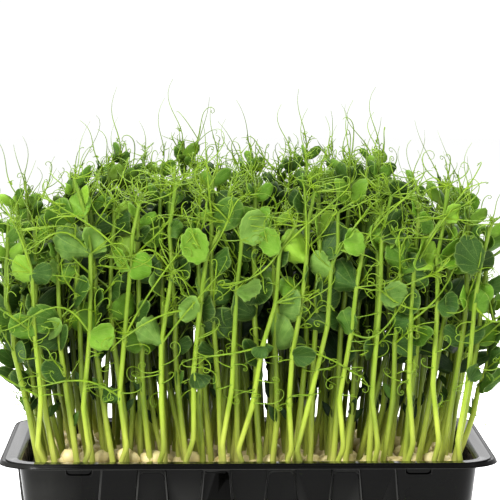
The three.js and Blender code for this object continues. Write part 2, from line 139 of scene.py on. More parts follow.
def shape_wall(bm, turn, reach, field_half, ribs, pockets):
    """Field, ribs with sunk panels, and pockets on one wall.

    The wall faces along turn and stands reach from the middle at rim height. Ribs are counted in
    pitches from its middle.
    """
    ribs = [pitches * RIB_PITCH for pitches in ribs]
    out = Vector((math.cos(turn), math.sin(turn), 0))
    along = Vector((-math.sin(turn), math.cos(turn), 0))
    down = Vector((0, 0, -math.cos(WALL_DRAFT))) - out * math.sin(WALL_DRAFT)

    def spot(at, below):
        return out * reach + Vector((0, 0, TRAY_HEIGHT)) + along * at + down * below

    def nearest(at, below, parts):
        return min(parts, key=lambda face: (face.calc_center_median() - spot(at, below)).length)

    def side_cuts(parts, at, half, top, flare):
        for side in (-1, 1):
            parts = cut(bm, parts, spot(at + side * half, top), along * side - down * flare)
        return parts

    def hollow_edges(face, end):
        """The edges that run up from the two highest or two lowest corners of a sunk face."""
        corners = sorted(face.verts, key=lambda vert: end * vert.co.z)[:2]
        return [
            edge for vert in corners for edge in vert.link_edges
            if edge.other_vert(vert) not in face.verts
        ]

    top, bottom = FIELD_TOP, TRAY_HEIGHT - FIELD_FOOT
    middle = TRAY_HEIGHT / 2
    wall = nearest(0, middle, [face for face in bm.faces if face.normal.dot(out) > 0.9])
    parts = side_cuts([wall], 0, field_half, top, RIB_FLARE)
    for at in ribs:
        parts = side_cuts(parts, at, RIB_WIDTH / 2, top, RIB_FLARE)
    for at in pockets:
        parts = side_cuts(parts, at, POCKET_WIDTH / 2, top, 0)
    round_edges = []
    for at in pockets:
        column = nearest(at, middle, parts)
        parts.remove(column)
        pieces = cut(bm, [column], spot(at, LIP_DROP - 1 + POCKET_DROP), UP)
        pocket = max(pieces, key=lambda face: face.calc_center_median().z)
        emboss(bm, [pocket], DRAWN_LEAN, -POCKET_DEPTH)
        round_edges += hollow_edges(pocket, 1)

    field = [
        face for face in parts
        if abs((face.calc_center_median() - spot(0, middle)).dot(along)) < field_half
    ]
    field = cut(bm, field, spot(0, bottom), UP)
    field = [face for face in field if face.calc_center_median().z > TRAY_HEIGHT - bottom]
    emboss(bm, field, FIELD_LEAN, FIELD_DEPTH)
    for at in ribs:
        column = nearest(at, middle, field)
        field.remove(column)
        pieces = cut(bm, [column], spot(at, bottom - 1) + out * FIELD_DEPTH, UP)
        rib = max(pieces, key=lambda face: face.calc_area())
        emboss(bm, [rib], DRAWN_LEAN, RIB_DEPTH)
        panel_top = spot(at, LIP_DROP + 1.4) + out * (FIELD_DEPTH + RIB_DEPTH)
        pieces = cut(bm, [rib], panel_top, UP)
        panel = max(pieces, key=lambda face: face.calc_area())
        emboss(bm, [panel], PANEL_INSET, 0)
        emboss(bm, [panel], 0.4, PANEL_RISE - RIB_DEPTH)
        round_edges += hollow_edges(panel, -1)
    bmesh.ops.bevel(
        bm, geom=round_edges, offset=HOLLOW_ROUNDING, segments=3, profile=0.5, affect="EDGES",
        material=-1,
    )


class Wire:
    """A socket of a shader node. Arithmetic on wires adds Math nodes."""

    def __init__(self, socket):
        self.socket = socket

    @staticmethod
    def node(tree, kind, settings=None, sockets=None, output=0):
        """Adds a node of a kind, gives it its settings, then fills its sockets with values or wires."""
        made = tree.nodes.new("ShaderNode" + kind)
        for name, value in (settings or {}).items():
            if name == "stops":
                stops = made.color_ramp.elements
                while len(stops) < len(value):
                    stops.new(1)
                for stop, (position, colour) in zip(stops, value):
                    stop.position = position
                    stop.color = (*colour, 1)
            else:
                setattr(made, name, value)
        for name, value in (sockets or {}).items():
            if isinstance(value, Wire):
                tree.links.new(value.socket, made.inputs[name])
            else:
                made.inputs[name].default_value = value
        return Wire(made.outputs[output]) if made.outputs else None

    def maths(self, operation, other=0.0, reflected=False):
        tree = self.socket.id_data
        first, second = (other, self) if reflected else (self, other)
        return Wire.node(tree, "Math", {"operation": operation}, {0: first, 1: second})

    def __add__(self, other):
        return self.maths("ADD", other)

    __radd__ = __add__

    def __sub__(self, other):
        return self.maths("SUBTRACT", other)

    def __rsub__(self, other):
        return self.maths("SUBTRACT", other, True)

    def __mul__(self, other):
        return self.maths("MULTIPLY", other)

    __rmul__ = __mul__

    def clamped(self):
        return self.maths("MAXIMUM", 0.0).maths("MINIMUM", 1.0)


def new_finish(name):
    """A fresh material's node tree, with nothing in it."""
    material = bpy.data.materials.new(name)
    material.use_nodes = True
    material.node_tree.nodes.clear()
    return material, material.node_tree


def object_point(tree):
    return Wire.node(tree, "TexCoord", output="Object")


def apart(tree, vector):
    """The three parts of a vector."""
    first = Wire.node(tree, "SeparateXYZ", {}, {"Vector": vector})
    return [Wire(output) for output in first.socket.node.outputs]


def painted(tree, name):
    """What a mesh holds at its points under a name."""
    return Wire.node(tree, "Attribute", {"attribute_name": name}, output="Fac")


def noise_of(tree, point, scale, detail=3, roughness=0.55):
    return Wire.node(
        tree, "TexNoise", {}, {"Vector": point, "Scale": scale, "Detail": detail, "Roughness": roughness}
    )


def mixed(tree, share, first, second):
    """A colour between two, each a wire or a (red, green, blue)."""
    ends = [end if isinstance(end, Wire) else (*end, 1) for end in (first, second)]
    return Wire.node(
        tree, "Mix", {"data_type": "RGBA"}, {0: share, 6: ends[0], 7: ends[1]}, output=2
    )


def surface(tree, colour, roughness, bump=None, others=None):
    """A Principled shader. Bump holds the bumps' strength, their distance and their height."""
    sockets = {"Base Color": colour, "Roughness": roughness, **(others or {})}
    if bump:
        bump = dict(zip(("Strength", "Distance", "Height"), bump))
        sockets["Normal"] = Wire.node(tree, "Bump", {}, bump)
    return Wire.node(tree, "BsdfPrincipled", {}, sockets)


def close(tree, shader):
    """Ends a finish in its shader."""
    Wire.node(tree, "OutputMaterial", {}, {"Surface": shader})


def black_plastic():
    material, tree = new_finish("black_plastic")
    point = object_point(tree)
    haze = noise_of(tree, point, 38, 4)
    grain = noise_of(tree, point, 900, 2)
    worn = painted(tree, "worn")
    sideways, _, height = apart(tree, point)
    dust = (noise_of(tree, point, 420, 6, 0.7) - 0.66).clamped() * 3.2
    # Painted reflection: left of 88 mm from the middle the plastic is greyed in hazy patches, as if it
    # mirrored the white floor and backdrop.
    left_reflection = ((-0.088 - sideways) * 60.0).clamped() * (haze * 0.9 + 0.1)
    dusty = mixed(tree, dust.clamped() * 0.16, (0.0016, 0.0016, 0.0014), (0.04, 0.038, 0.034))
    with_reflection = mixed(tree, left_reflection * 0.32, dusty, (0.05, 0.05, 0.046))
    # Pale bulging edges: partly scuffs, partly a painted highlight where the edges would catch the lamps.
    colour = mixed(tree, worn * (haze * 0.8 + 0.2), with_reflection, (0.036, 0.036, 0.034))
    on_rim = ((height - 0.0490) * 2000.0).clamped()
    close(tree, surface(
        tree, colour, haze * 0.16 + 0.08, (0.25, 0.0001, grain * 0.6 + haze),
        {"IOR": 1.15, "Coat Weight": on_rim * 0.9, "Coat Roughness": 0.12, "Coat IOR": 1.33},
    ))
    return material


def in_scene(name, data):
    """A new object that shows a mesh, a lamp or a camera."""
    made = bpy.data.objects.new(name, data)
    bpy.context.scene.collection.objects.link(made)
    return made


def place(name, mesh, finishes, slot, *nodes):
    """Brings a finished mesh to metres, hangs it under the root and hides the parts it stands for."""
    mesh.transform(Matrix.Scale(0.001, 4))
    mesh.name = name
    for finish in finishes:
        mesh.materials.append(finish)
    piece = in_scene(name, mesh)
    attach(piece, "root")
    if nodes:
        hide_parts(*nodes)


def to_mesh(bm):
    mesh = bpy.data.meshes.new("made")
    bm.to_mesh(mesh)
    bm.free()
    return mesh


def finished(mesh, *steps):
    """The mesh with a list of (modifier, settings) worked into it."""
    piece = in_scene("worked", mesh)
    for kind, settings in steps:
        modifier = piece.modifiers.new(kind.lower(), kind)
        for name, value in settings.items():
            setattr(modifier, name, value)
    depsgraph = bpy.context.evaluated_depsgraph_get()
    worked = bpy.data.meshes.new_from_object(piece.evaluated_get(depsgraph))
    bpy.data.objects.remove(piece)
    return worked


def mark_scuffed_highlit_edges(mesh):
    """Writes how sharply the sheet bulges at each point: handling scuffs and a painted highlight."""
    bm = bmesh.new()
    bm.from_mesh(mesh)
    bm.normal_update()
    worn = bm.verts.layers.float.new("worn")
    for vert in bm.verts:
        bulge = max(
            (vert.co - edge.other_vert(vert).co).normalized().dot(vert.normal)
            for edge in vert.link_edges
        )
        on_lip = vert.co.z > TRAY_HEIGHT - LIP_DROP + 0.3
        vert[worn] = 0 if on_lip else kept(0, (bulge - SCUFF_HIGHLIGHT_FROM) * SCUFF_HIGHLIGHT_GAIN, 1)
    bm.to_mesh(mesh)
    bm.free()


def tray_mesh():
    bm = bmesh.new()
    foot = FLANGE + draft_inset(0)
    under = TRAY_HEIGHT - 0.6 - SHEET
    rim_corner = BODY_CORNER + FLANGE
    mark = rounded_floor(bm, foot + 2, 0, BODY_CORNER - 2)
    raise_wall(bm, mark, [
        (foot + 0.5, 0.4, BODY_CORNER - 0.6),
        (foot - 0.2, 1.8, BODY_CORNER),
        (FLANGE + draft_inset(under - 0.9), under - 0.9, BODY_CORNER),
        (FLANGE - 0.3, under - 0.2, BODY_CORNER + 0.4),
        (FLANGE - 1, under, rim_corner - FLANGE + 1),
        (3.4, under, rim_corner - 3.4),
        (2.4, under + 0.5, rim_corner - 2.4),
        (1.7, under + 0.4, rim_corner - 1.7),
        (SHEET, under - 0.3, rim_corner - SHEET),
        (SHEET, TRAY_HEIGHT - LIP_DROP, rim_corner - SHEET),
    ])
    bmesh.ops.recalc_face_normals(bm, faces=bm.faces)
    if min(bm.faces, key=lambda face: face.calc_center_median().z).normal.z > 0:
        bmesh.ops.reverse_faces(bm, faces=bm.faces)
    long_wall = (RIM_WIDTH / 2 - FLANGE, FIELD_HALF, (-1.5, -0.5, 0.5, 1.5), (-POCKET_AT, POCKET_AT))
    end_wall = (RIM_LENGTH / 2 - FLANGE, RIB_PITCH + 3, (-0.5, 0.5), ())
    for quarters, wall in ((-1, long_wall), (1, long_wall), (0, end_wall), (2, end_wall)):
        shape_wall(bm, quarters * math.pi / 2, *wall)
    mesh = finished(
        to_mesh(bm),
        ("BEVEL", {"width": 0.45, "segments": 2, "limit_method": "ANGLE", "angle_limit": 0.5}),
        ("SOLIDIFY", {"thickness": SHEET, "offset": -1}),
    )
    mark_scuffed_highlit_edges(mesh)
    mesh.shade_smooth()
    mesh.set_sharp_from_angle(angle=0.7)
    return mesh


place("drawn_tray", tray_mesh(), [black_plastic()], "black_plastic", "tray")


# ---- Growing medium: a mat of coir and peat that fills the tray. Its face is rough with fibres, and
# white rootlets run over it between the peas.
BED_HEIGHT = 37
FIT_GAP = 0.4
BED_STEP = 2.4
ROOTLETS, ROOTLET_STEP, ROOTLET_HALF_X, ROOTLET_HALF_Y = 300, 2.3, 112, 61
AROUND = (0, 6.28)


def bed_inset(z):
    return FLANGE + draft_inset(z) + SHEET + FIT_GAP


def bed_mesh():
    bm = bmesh.new()
    top = BED_HEIGHT - 1.2
    half_x, half_y = RIM_LENGTH / 2 - bed_inset(top) - 0.3, RIM_WIDTH / 2 - bed_inset(top) - 0.3
    corner = BODY_CORNER - SHEET - FIT_GAP
    bmesh.ops.create_grid(
        bm, x_segments=round(2 * half_x / BED_STEP), y_segments=round(2 * half_y / BED_STEP), size=1
    )
    for vert in bm.verts:
        x, y = vert.co.x * half_x, vert.co.y * half_y
        u, v = max(0, abs(x) - half_x + corner) / corner, max(0, abs(y) - half_y + corner) / corner
        if u > 0 and v > 0:
            x = math.copysign(half_x - corner + corner * u * math.sqrt(1 - v * v / 2), x)
            y = math.copysign(half_y - corner + corner * v * math.sqrt(1 - u * u / 2), y)
        lump = noise.noise(Vector((x, y, 3)) / 9) + 0.6 * noise.noise(Vector((x, y, 8)) / 3.2)
        edge = min(half_x - abs(x), half_y - abs(y))
        vert.co = (x, y, top + min(1, edge / 4) * (0.8 + 0.9 * lump))
    rim = [edge for edge in bm.edges if len(edge.link_faces) < 2]
    for z in (BED_HEIGHT / 2, SHEET + FIT_GAP + 2.2, SHEET + FIT_GAP):
        made = bmesh.ops.extrude_edge_only(bm, edges=rim)["geom"]
        rim = [part for part in made if isinstance(part, bmesh.types.BMEdge)]
        low = [part for part in made if isinstance(part, bmesh.types.BMVert)]
        now_x, now_y = max(vert.co.x for vert in low), max(vert.co.y for vert in low)
        drawn_in = bed_inset(z) + (3 if z < 2 else 0.3)
        new_x, new_y = RIM_LENGTH / 2 - drawn_in, RIM_WIDTH / 2 - drawn_in
        for vert in low:
            vert.co = (vert.co.x * new_x / now_x, vert.co.y * new_y / now_y, z)
    bmesh.ops.edgeloop_fill(bm, edges=rim)
    bmesh.ops.recalc_face_normals(bm, faces=bm.faces)
    mesh = to_mesh(bm)
    mesh.shade_smooth()
    return mesh


def tubes(paths, sides, material_index=0):
    """A mesh of round tubes. Each path is a list of points and a list of radii. Sides are even."""
    curve = bpy.data.curves.new("paths", "CURVE")
    curve.dimensions = "3D"
    curve.bevel_depth = 1
    curve.bevel_resolution = (sides - 4) // 2
    curve.use_fill_caps = True
    for points, radii in paths:
        spline = curve.splines.new("POLY")
        spline.points.add(len(points) - 1)
        spline.points.foreach_set("co", [value for point in points for value in (*point, 1)])
        spline.points.foreach_set("radius", radii)
        spline.use_smooth = True
    piece = bpy.data.objects.new("paths", curve)
    mesh = bpy.data.meshes.new_from_object(piece)
    bpy.data.objects.remove(piece)
    bpy.data.curves.remove(curve)
    mesh.polygons.foreach_set("material_index", [material_index] * len(mesh.polygons))
    return mesh


def joined(meshes):
    """One mesh of many. The parts are used up."""
    bm = bmesh.new()
    for mesh in meshes:
        bm.from_mesh(mesh)
        bpy.data.meshes.remove(mesh)
    return to_mesh(bm)


def rootlet_paths(chance):
    paths = []
    for _ in range(ROOTLETS):
        x = chance.uniform(-ROOTLET_HALF_X, ROOTLET_HALF_X)
        y = chance.uniform(-ROOTLET_HALF_Y, ROOTLET_HALF_Y)
        turn, bend = chance.uniform(*AROUND), chance.uniform(-0.5, 0.5)
        points, radii = [], []
        size = chance.uniform(0.18, 0.4)
        for i in range(7):
            lift = 0.4 + 1.3 * math.sin(i * 1.1 + turn) ** 2 if 0 < i < 6 else -0.8
            points.append((x, y, BED_HEIGHT + lift))
            radii.append(size * (1 - 0.09 * i))
            x, y = x + ROOTLET_STEP * math.cos(turn), y + ROOTLET_STEP * math.sin(turn)
            x = kept(-ROOTLET_HALF_X - 3, x, ROOTLET_HALF_X + 3)
            y = kept(-ROOTLET_HALF_Y - 3, y, ROOTLET_HALF_Y + 3)
            turn += bend
        paths.append((points, radii))
    return paths


def stretched(tree, point, *scale):
    return Wire.node(tree, "Mapping", {}, {"Vector": point, "Scale": scale})


def ramp(tree, share, *stops):
    """A colour along stops, each a position and a (red, green, blue)."""
    return Wire.node(tree, "ValToRGB", {"stops": stops}, {"Fac": share})


def coir_and_peat():
    material, tree = new_finish("coir_and_peat")
    point = object_point(tree)
    crumbs = noise_of(tree, point, 420, 6, 0.7)
    fibres = noise_of(tree, stretched(tree, point, 1, 3.2, 1), 260, 5, 0.75)
    shade = ramp(
        tree, crumbs * 0.5 + fibres * 0.5,
        (0.25, (0.012, 0.007, 0.004)), (0.55, (0.060, 0.034, 0.016)), (0.8, (0.20, 0.13, 0.065)),
    )
    close(tree, surface(tree, shade, 0.95, (1, 0.0012, crumbs + fibres)))
    return material


def root_white():
    material, tree = new_finish("root_white")
    stain = noise_of(tree, object_point(tree), 300, 3)
    colour = mixed(tree, stain, (0.72, 0.66, 0.48), (0.42, 0.31, 0.17))
    close(tree, surface(tree, colour, 0.6))
    return material


place(
    "coir_mat", joined([bed_mesh(), tubes(rootlet_paths(random.Random(11)), 4, 1)]),
    [coir_and_peat(), root_white()], "coir_and_peat", "growing_medium",
)


# ---- Places of the shoots: the rule by which the peas were sown and the shoots grew, so that each
# stands in its own hole. Every piece that grows is sampled by balls, and keeps clear of the rest.
SEED = 20261
PEA_LIFT = 0.3
PEA_RADII = (4.9, 4.6, 4.3)
ROWS = (12, 11, 11, 11, 12)
ROW_PITCH = 28
OUTER_ROW_HALF, INNER_ROW_HALF = 105.6, 108
TWIN_GAP = 8
STEM_START = 4.5
FAN_X, FAN_Y = 0.12, 0.22
SHORTEST, TALLEST = 126, 170
END_FALL, FALL_FROM, FALL_TO, FALL_FOOT = 20, 66, 112, BED_HEIGHT + 10
CELL = 8
STEM_BALL, LEAF_BALL, THREAD_BALL = 2.6, 2.3, 1.8
LOBE = ((3.5, -7.5, 1.2), (11, -5, 0.4), (13.5, 2.5, -1.2), (7.5, 11, 0.6))

drawn = SEED
grown = {}


def draw(low, high):
    """The next number of Park and Miller's generator."""
    global drawn
    drawn = drawn * 16807 % 2147483647
    return low + (high - low) * drawn / 2147483647


def cell_of(ball):
    return tuple(math.floor(value / CELL) for value in ball[:3])


def is_clear(balls, owner):
    for x, y, z, r in balls:
        ci, cj, ck = cell_of((x, y, z))
        for i in (ci - 1, ci, ci + 1):
            for j in (cj - 1, cj, cj + 1):
                for k in (ck - 1, ck, ck + 1):
                    for ox, oy, oz, other_r, other in grown.get((i, j, k), ()):
                        gap = (x - ox) ** 2 + (y - oy) ** 2 + (z - oz) ** 2
                        if other != owner and gap < (r + other_r) ** 2:
                            return False
    return True


def find_place(owner, propose, tries=60, allowed=lambda balls: True):
    """Tries places until one is clear of every other shoot, and keeps it."""
    for _ in range(tries):
        found = propose()
        if allowed(found["balls"]) and is_clear(found["balls"], owner):
            for ball in found["balls"]:
                grown.setdefault(cell_of(ball), []).append((*ball, owner))
            return found
    return None


def level(angle):
    return Vector((math.cos(angle), math.sin(angle), 0))


def stem_point(shoot, t):
    lean = 1 - (1 - t) * (1 - t)
    sway = shoot["sway"] * math.sin(math.pi * 2 * t + shoot["phase"]) * t
    return Vector((
        shoot["x"] + shoot["lean_x"] * lean + sway * math.cos(shoot["sway_turn"]),
        shoot["y"] + shoot["lean_y"] * lean + sway * math.sin(shoot["sway_turn"]),
        BED_HEIGHT + STEM_START + shoot["height"] * t,
    ))


def stem_balls(shoot, radius=STEM_BALL):
    steps = math.ceil(shoot["height"] / 3)
    return [(*stem_point(shoot, i / steps), radius) for i in range(steps + 1)]


def grown_stem(uniform, x, y, heights, bow, sag, sway):
    """A stem's own height, lean and sway, each drawn from a range by uniform."""
    return {
        "x": x, "y": y, "leaves": [], "height": uniform(*heights),
        "lean_x": x * FAN_X + uniform(-bow, bow), "lean_y": y * FAN_Y + uniform(-sag, sag),
        "sway": uniform(0.5, sway), "phase": uniform(*AROUND), "sway_turn": uniform(*AROUND),
    }


def foot_places():
    places = []
    last = len(ROWS) - 1
    for row, count in enumerate(ROWS):
        outer = row in (0, last)
        half = OUTER_ROW_HALF if outer else INNER_ROW_HALF
        for i in range(count):
            end = i in (0, count - 1)
            x = -half + (2 * half * i) / (count - 1) + draw(-0.6, 0.6)
            y = (row - last / 2) * ROW_PITCH + (draw(-2, 2) if outer else draw(-5, 5))
            twins = row == 0 or end or (row == last and i % 2 == 0)
            turn = 1.4 if end and not outer else 0
            places.append((x, y, twins, outer or end, turn))
    return places


def grow_stems():
    shoots = []
    for node, (place_x, place_y, twins, edge, turn) in enumerate(foot_places()):
        turn += draw(-0.3, 0.3)
        for side in (-0.5, 0.5) if twins else (0,):
            x = place_x + side * TWIN_GAP * math.cos(turn)
            y = place_y + side * TWIN_GAP * math.sin(turn)

            def propose():
                tried = grown_stem(draw, x, y, (SHORTEST, TALLEST), 4, 5, 2.5)
                return {**tried, "balls": stem_balls(tried)}

            shoot = find_place(len(shoots), propose)
            shoots.append({**shoot, "node": node, "owner": len(shoots), "edge": edge, "base": turn})
    return shoots


def thread_points(start, turn, reach, rise):
    out = level(turn)
    return [
        start + out * (far * reach) + UP * (high * rise)
        for far, high in ((0, 0), (0.45, 0.5), (0.9, 0.8), (1, 1.35))
    ]


def thread_balls(points):
    balls = []
    for here, there in zip(points, points[1:]):
        steps = math.ceil((there - here).length / 2.5)
        balls += [(*here.lerp(there, k / steps), THREAD_BALL) for k in range(steps + 1)]
    return balls


def lobe_frame(shoot, leaf, wing):
    """Where one blade of a leaf springs from, its axis out, its axis up, and its normal."""
    at = stem_point(shoot, leaf["t"])
    up = (stem_point(shoot, leaf["t"] + 0.02) - stem_point(shoot, leaf["t"] - 0.02)).normalized()
    axis = level(leaf["turn"] + wing * leaf["spread"])
    normal = axis.cross(up).normalized()
    tilted = (up + axis * leaf["tilt"]).normalized()
    return at, axis, tilted, normal


def leaf_balls(shoot, leaf, radius=LEAF_BALL):
    balls = []
    for wing in (1, -1):
        at, axis, tilted, normal = lobe_frame(shoot, leaf, wing)
        size = leaf["size"]
        corners = [
            at + axis * (far * size) + tilted * (high * size) + normal * (bow * size * -wing)
            for far, high, bow in LOBE
        ]
        for b, c in zip(corners, corners[1:]):
            longest = max((at - b).length, (b - c).length, (c - at).length)
            steps = max(1, math.ceil(longest / 3.2))
            for i in range(steps + 1):
                for j in range(steps + 1 - i):
                    point = at * (1 - (i + j) / steps) + b * (i / steps) + c * (j / steps)
                    balls.append((*point, radius))
    return balls


def grown_leaf(uniform, outward, heights, sizes, swing, spreads, tilts):
    """A leaf's own height on the stem, turn, spread, tilt and size, each drawn from a range."""
    return {
        "t": uniform(*heights), "turn": outward + uniform(-swing, swing),
        "spread": uniform(*spreads), "tilt": uniform(*tilts), "size": uniform(*sizes),
    }


def grow_leads(shoots):
    for shoot in shoots:
        def propose():
            points = thread_points(stem_point(shoot, 1), draw(*AROUND), draw(3, 12), draw(16, 28))
            return {"points": points, "balls": thread_balls(points)}

        shoot["lead"] = find_place(shoot["owner"], propose)


def grow_leaves(shoots, heights, sizes):
    for shoot in shoots:
        outward = math.atan2(shoot["y"] * 2, shoot["x"])

        def propose():
            tried = grown_leaf(draw, outward, heights, sizes, 2.6, (0.7, 1.3), (0.1, 0.6))
            return {**tried, "balls": leaf_balls(shoot, tried)}

        leaf = find_place(shoot["owner"], propose)
        if leaf:
            shoot["leaves"].append(leaf)


def grow_threads(shoots):
    for shoot in shoots:
        for leaf in shoot["leaves"][: 2 if shoot["edge"] else 1]:
            start = stem_point(shoot, leaf["t"])

            def propose():
                turn = leaf["turn"] + math.pi + draw(-0.5, 0.5)
                points = thread_points(start, turn, draw(9, 17), draw(8, 18))
                return {"points": points, "balls": thread_balls(points)}

            leaf["thread"] = find_place(shoot["owner"], propose)


shoots = grow_stems()
grow_leads(shoots)
grow_leaves(shoots, (0.84, 0.93), (0.6, 0.8))
grow_leaves(shoots, (0.6, 0.75), (0.8, 1.1))
low_leaved = [shoot for shoot in shoots if shoot["edge"] and shoot["owner"] % 2 == 0]
grow_leaves(low_leaved, (0.36, 0.52), (0.75, 1))
grow_threads(shoots)


# ---- Leaves: pea shoots carry pairs of stipules, soft half-heart blades with a waxy bloom, pale
# fanned veins and a pale edge that is a painted highlight. Each blade is cut from one of a few forms
# and clasps its stem.
BLADE = 0.32
LIMIT_LOW = Vector(cad_box[0]) * 1000 - Vector((4, 2.5, 0))
LIMIT_HIGH = Vector(cad_box[1]) * 1000 + Vector((4, 2.5, 3))
CLASP = (
    (0, 1.2), (-0.6, -3), (2.6, -6.9), (7.4, -6.8), (11.6, -4.4), (13.4, 1), (12.6, 6), (9.4, 10.4),
    (6.2, 11), (2.4, 8),
)
SMALL_CLASP = [(0.8 * x, 0.8 * y) for x, y in CLASP]
ROUND = (
    (0, -0.6), (3.6, -2.6), (8.2, -1.8), (12.2, 2.4), (13.6, 8), (11.8, 13.6), (7.4, 16.6),
    (2.6, 15.2), (-0.9, 10), (-1.2, 4),
)
SCALE = (
    (0, -1), (3, -1.6), (6.5, -0.6), (10.5, 1.6), (13, 4.4), (9.5, 4.6), (6, 4.4), (3, 3.4),
    (1, 2.2), (-0.3, 0.6),
)
LEAF_SHEET = 40


def inside_limits(point):
    """The point, brought back to the room that the shoots have."""
    return Vector(map(kept, LIMIT_LOW, point, LIMIT_HIGH))


def eased(share):
    return share * share * (3 - 2 * share)


def rays_of(outline):
    """An outline's middle, and the turn and the reach of its points from there."""
    middle = sum((Vector(point) for point in outline), Vector((0, 0))) / len(outline)
    return middle, sorted(
        (math.atan2(y - middle.y, x - middle.x) % (2 * math.pi), math.hypot(x - middle.x, y - middle.y))
        for x, y in outline
    )


def reach_at(rays, angle):
    """How far a smooth outline lies from its middle, in a direction."""
    for i, (high, reach_high) in enumerate(rays):
        low, reach_low = rays[i - 1]
        share = ((angle - low) % (2 * math.pi)) / ((high - low) % (2 * math.pi))
        if share <= 1:
            before, after = rays[i - 2][1], rays[(i + 1) % len(rays)][1]
            a = reach_low + (reach_high - before) * 0.5 * share * (1 - share) ** 2
            b = (after - reach_low) * 0.5 * share * share * (1 - share)
            return a + (reach_high - reach_low) * eased(share) - b
    return rays[0][1]


def leaf_form(outline, cells, cup, fold, wave, teeth):
    """A blade lying in its own plane, x out from the stem and y up it, as thick as a leaf."""
    middle, rays = rays_of(outline)
    bm = bmesh.new()
    rim = bm.verts.layers.float.new("rim")
    bm.verts.layers.float.new("tone")
    uv = bm.loops.layers.uv.new("leaf")
    bmesh.ops.create_grid(bm, x_segments=cells, y_segments=cells, size=1)
    for vert in bm.verts:
        x, y = vert.co.x, vert.co.y
        u, v = x * math.sqrt(1 - y * y / 2), y * math.sqrt(1 - x * x / 2)
        angle, out = math.atan2(v, u), math.hypot(u, v)
        # The rim share lightens the leaf's edge in the finish, as a painted highlight.
        vert[rim] = out ** 3
        reach = out * reach_at(rays, angle % (2 * math.pi))
        reach *= 1 + teeth * out ** 4 * math.sin(angle * 11)
        x, y = middle.x + reach * math.cos(angle), middle.y + reach * math.sin(angle)
        ridge = abs(y - 0.75 * x) / 10
        lift = cup * out * out + fold * ridge + wave * out ** 3 * math.sin(3 * angle + cup)
        near = min(1, math.hypot(x, y) / 5)
        vert.co = (x, y, lift * near)
    bmesh.ops.solidify(bm, geom=bm.faces[:], thickness=BLADE)
    bmesh.ops.recalc_face_normals(bm, faces=bm.faces)
    for face in bm.faces:
        face.smooth = True
        for loop in face.loops:
            loop[uv].uv = (loop.vert.co.x / LEAF_SHEET + 0.5, loop.vert.co.y / LEAF_SHEET + 0.5)
    return to_mesh(bm)


def forms_of(chance, outline, cells, count, teeth=0.0, soft=1.0):
    """Several blades of one outline, each cupped, folded and waved in its own way."""
    return [
        leaf_form(
            outline, cells, soft * chance.uniform(-1.6, 2.2), soft * chance.uniform(-1.5, 2.4),
            soft * chance.uniform(-1.3, 1.3), teeth * chance.uniform(0.3, 1),
        )
        for _ in range(count)
    ]


chance = random.Random(5)
clasp_forms = forms_of(chance, CLASP, 6, 8, 0.03)
plain_forms = forms_of(chance, ROUND, 5, 10, 0.02, 1.3)
fine_forms = forms_of(chance, ROUND, 9, 5, 0.06, 2.4)
fine_forms += forms_of(chance, SMALL_CLASP, 9, 5, 0.08, 2.0)
bud_forms = forms_of(chance, ROUND, 3, 5)
scale_forms = forms_of(chance, SCALE, 3, 4)


def cut_leaf(form, at, axis, tilted, normal, size, mirrored, tone, finish):
    """A blade from a form, set at a point with its axis out, its axis up and its normal."""
    leaf = form.copy()
    leaf.polygons.foreach_set("material_index", [finish] * len(leaf.polygons))
    side = -1 if mirrored else 1
    turn = Matrix((axis, tilted, normal * side)).transposed().to_4x4()
    leaf.transform(Matrix.Translation(at) @ turn @ Matrix.Scale(size, 4))
    if turn.determinant() < 0:
        leaf.flip_normals()
    leaf.attributes["tone"].data.foreach_set("value", [tone] * len(leaf.vertices))
    reaches = list(zip(*(vert.co for vert in leaf.vertices)))
    low, high = Vector(map(min, reaches)), Vector(map(max, reaches))
    leaf.transform(Matrix.Translation(inside_limits(low) - low + inside_limits(high) - high))
    return leaf


def turned_leaf(chance, forms, at, side, size, roll, turn, lean, finish, facing=0):
    """A stipule that shows its face. Facing is the turn of the side of the tray that it stands on."""
    way = (
        Matrix.Rotation(facing, 3, "Z") @ Matrix.Rotation(turn * side, 3, "Z")
        @ Matrix.Rotation(lean, 3, "X") @ Matrix.Rotation(roll * side, 3, "Y")
    )
    axis, up = way @ Vector((side, 0, 0)), way @ Vector((0, 0, 1))
    form = chance.choice(forms)
    return cut_leaf(form, at, axis, up, axis.cross(up), size, False, chance.random(), finish)


# ---- Stems, peas and tendrils: a stem is hollow and brittle, cream at its foot and green above, and
# rises from a wrinkled pea. Leaf stalks end in tendrils that branch and wind up at their tips.
# GREEN and BLUE_GREEN are leaf colours; the last two finishes are a lit and a shaded copy of the leaf
# green, painted light and painted shade.
STEM, PEA, TENDRIL, GREEN, BLUE_GREEN, LIT_GREEN, SHADED_GREEN = range(7)
STEM_FOOT, STEM_TOP, NODE_SWELL = 1.72, 1.05, 0.18
TENDRIL_FOOT, TENDRIL_TIP = 0.62, 0.17
KINK = 1.3
LEAF_OVERHANG = 4.5
BUDS, PLUMES, PLUME_TIPS = 3, 2, 5
OUTER_STALKS, SCALED = 0.6, 0.7
STALK_CURLS = (12, 22)
# A kind of curl: its lengths, its bends, its numbers of coils, its steps, and its girth at each end.
EDGE_CURL = ((18, 34), (-1.2, 1.2), (0.7, 1.9), 15, 0.32, 0.12)
# Height that the tops of the shoots keep to, and how much lower it is at the two ends.
CROWN, CROWN_FALL, CROWN_HALF, CROWN_DEPTH = 222, 42, 130, 24
# Where leaves are those of the stand's top, of its lower half and of its edge. This picks their
# finishes: painted light at the top, painted shade low down and inside.
TOP_FROM, LOW_BELOW, EDGE_DEPTH = 172, 158, 16
STAND_HALF_X, STAND_HALF_Y = 128, 75
# How far from the middle a foot counts as at an edge, and from where the stand is lit, in metres.
EDGE_FROM_X, EDGE_FROM_Y = 96, 48
LIT_OUT_FROM, LIT_UP_FROM = 0.056, 0.185


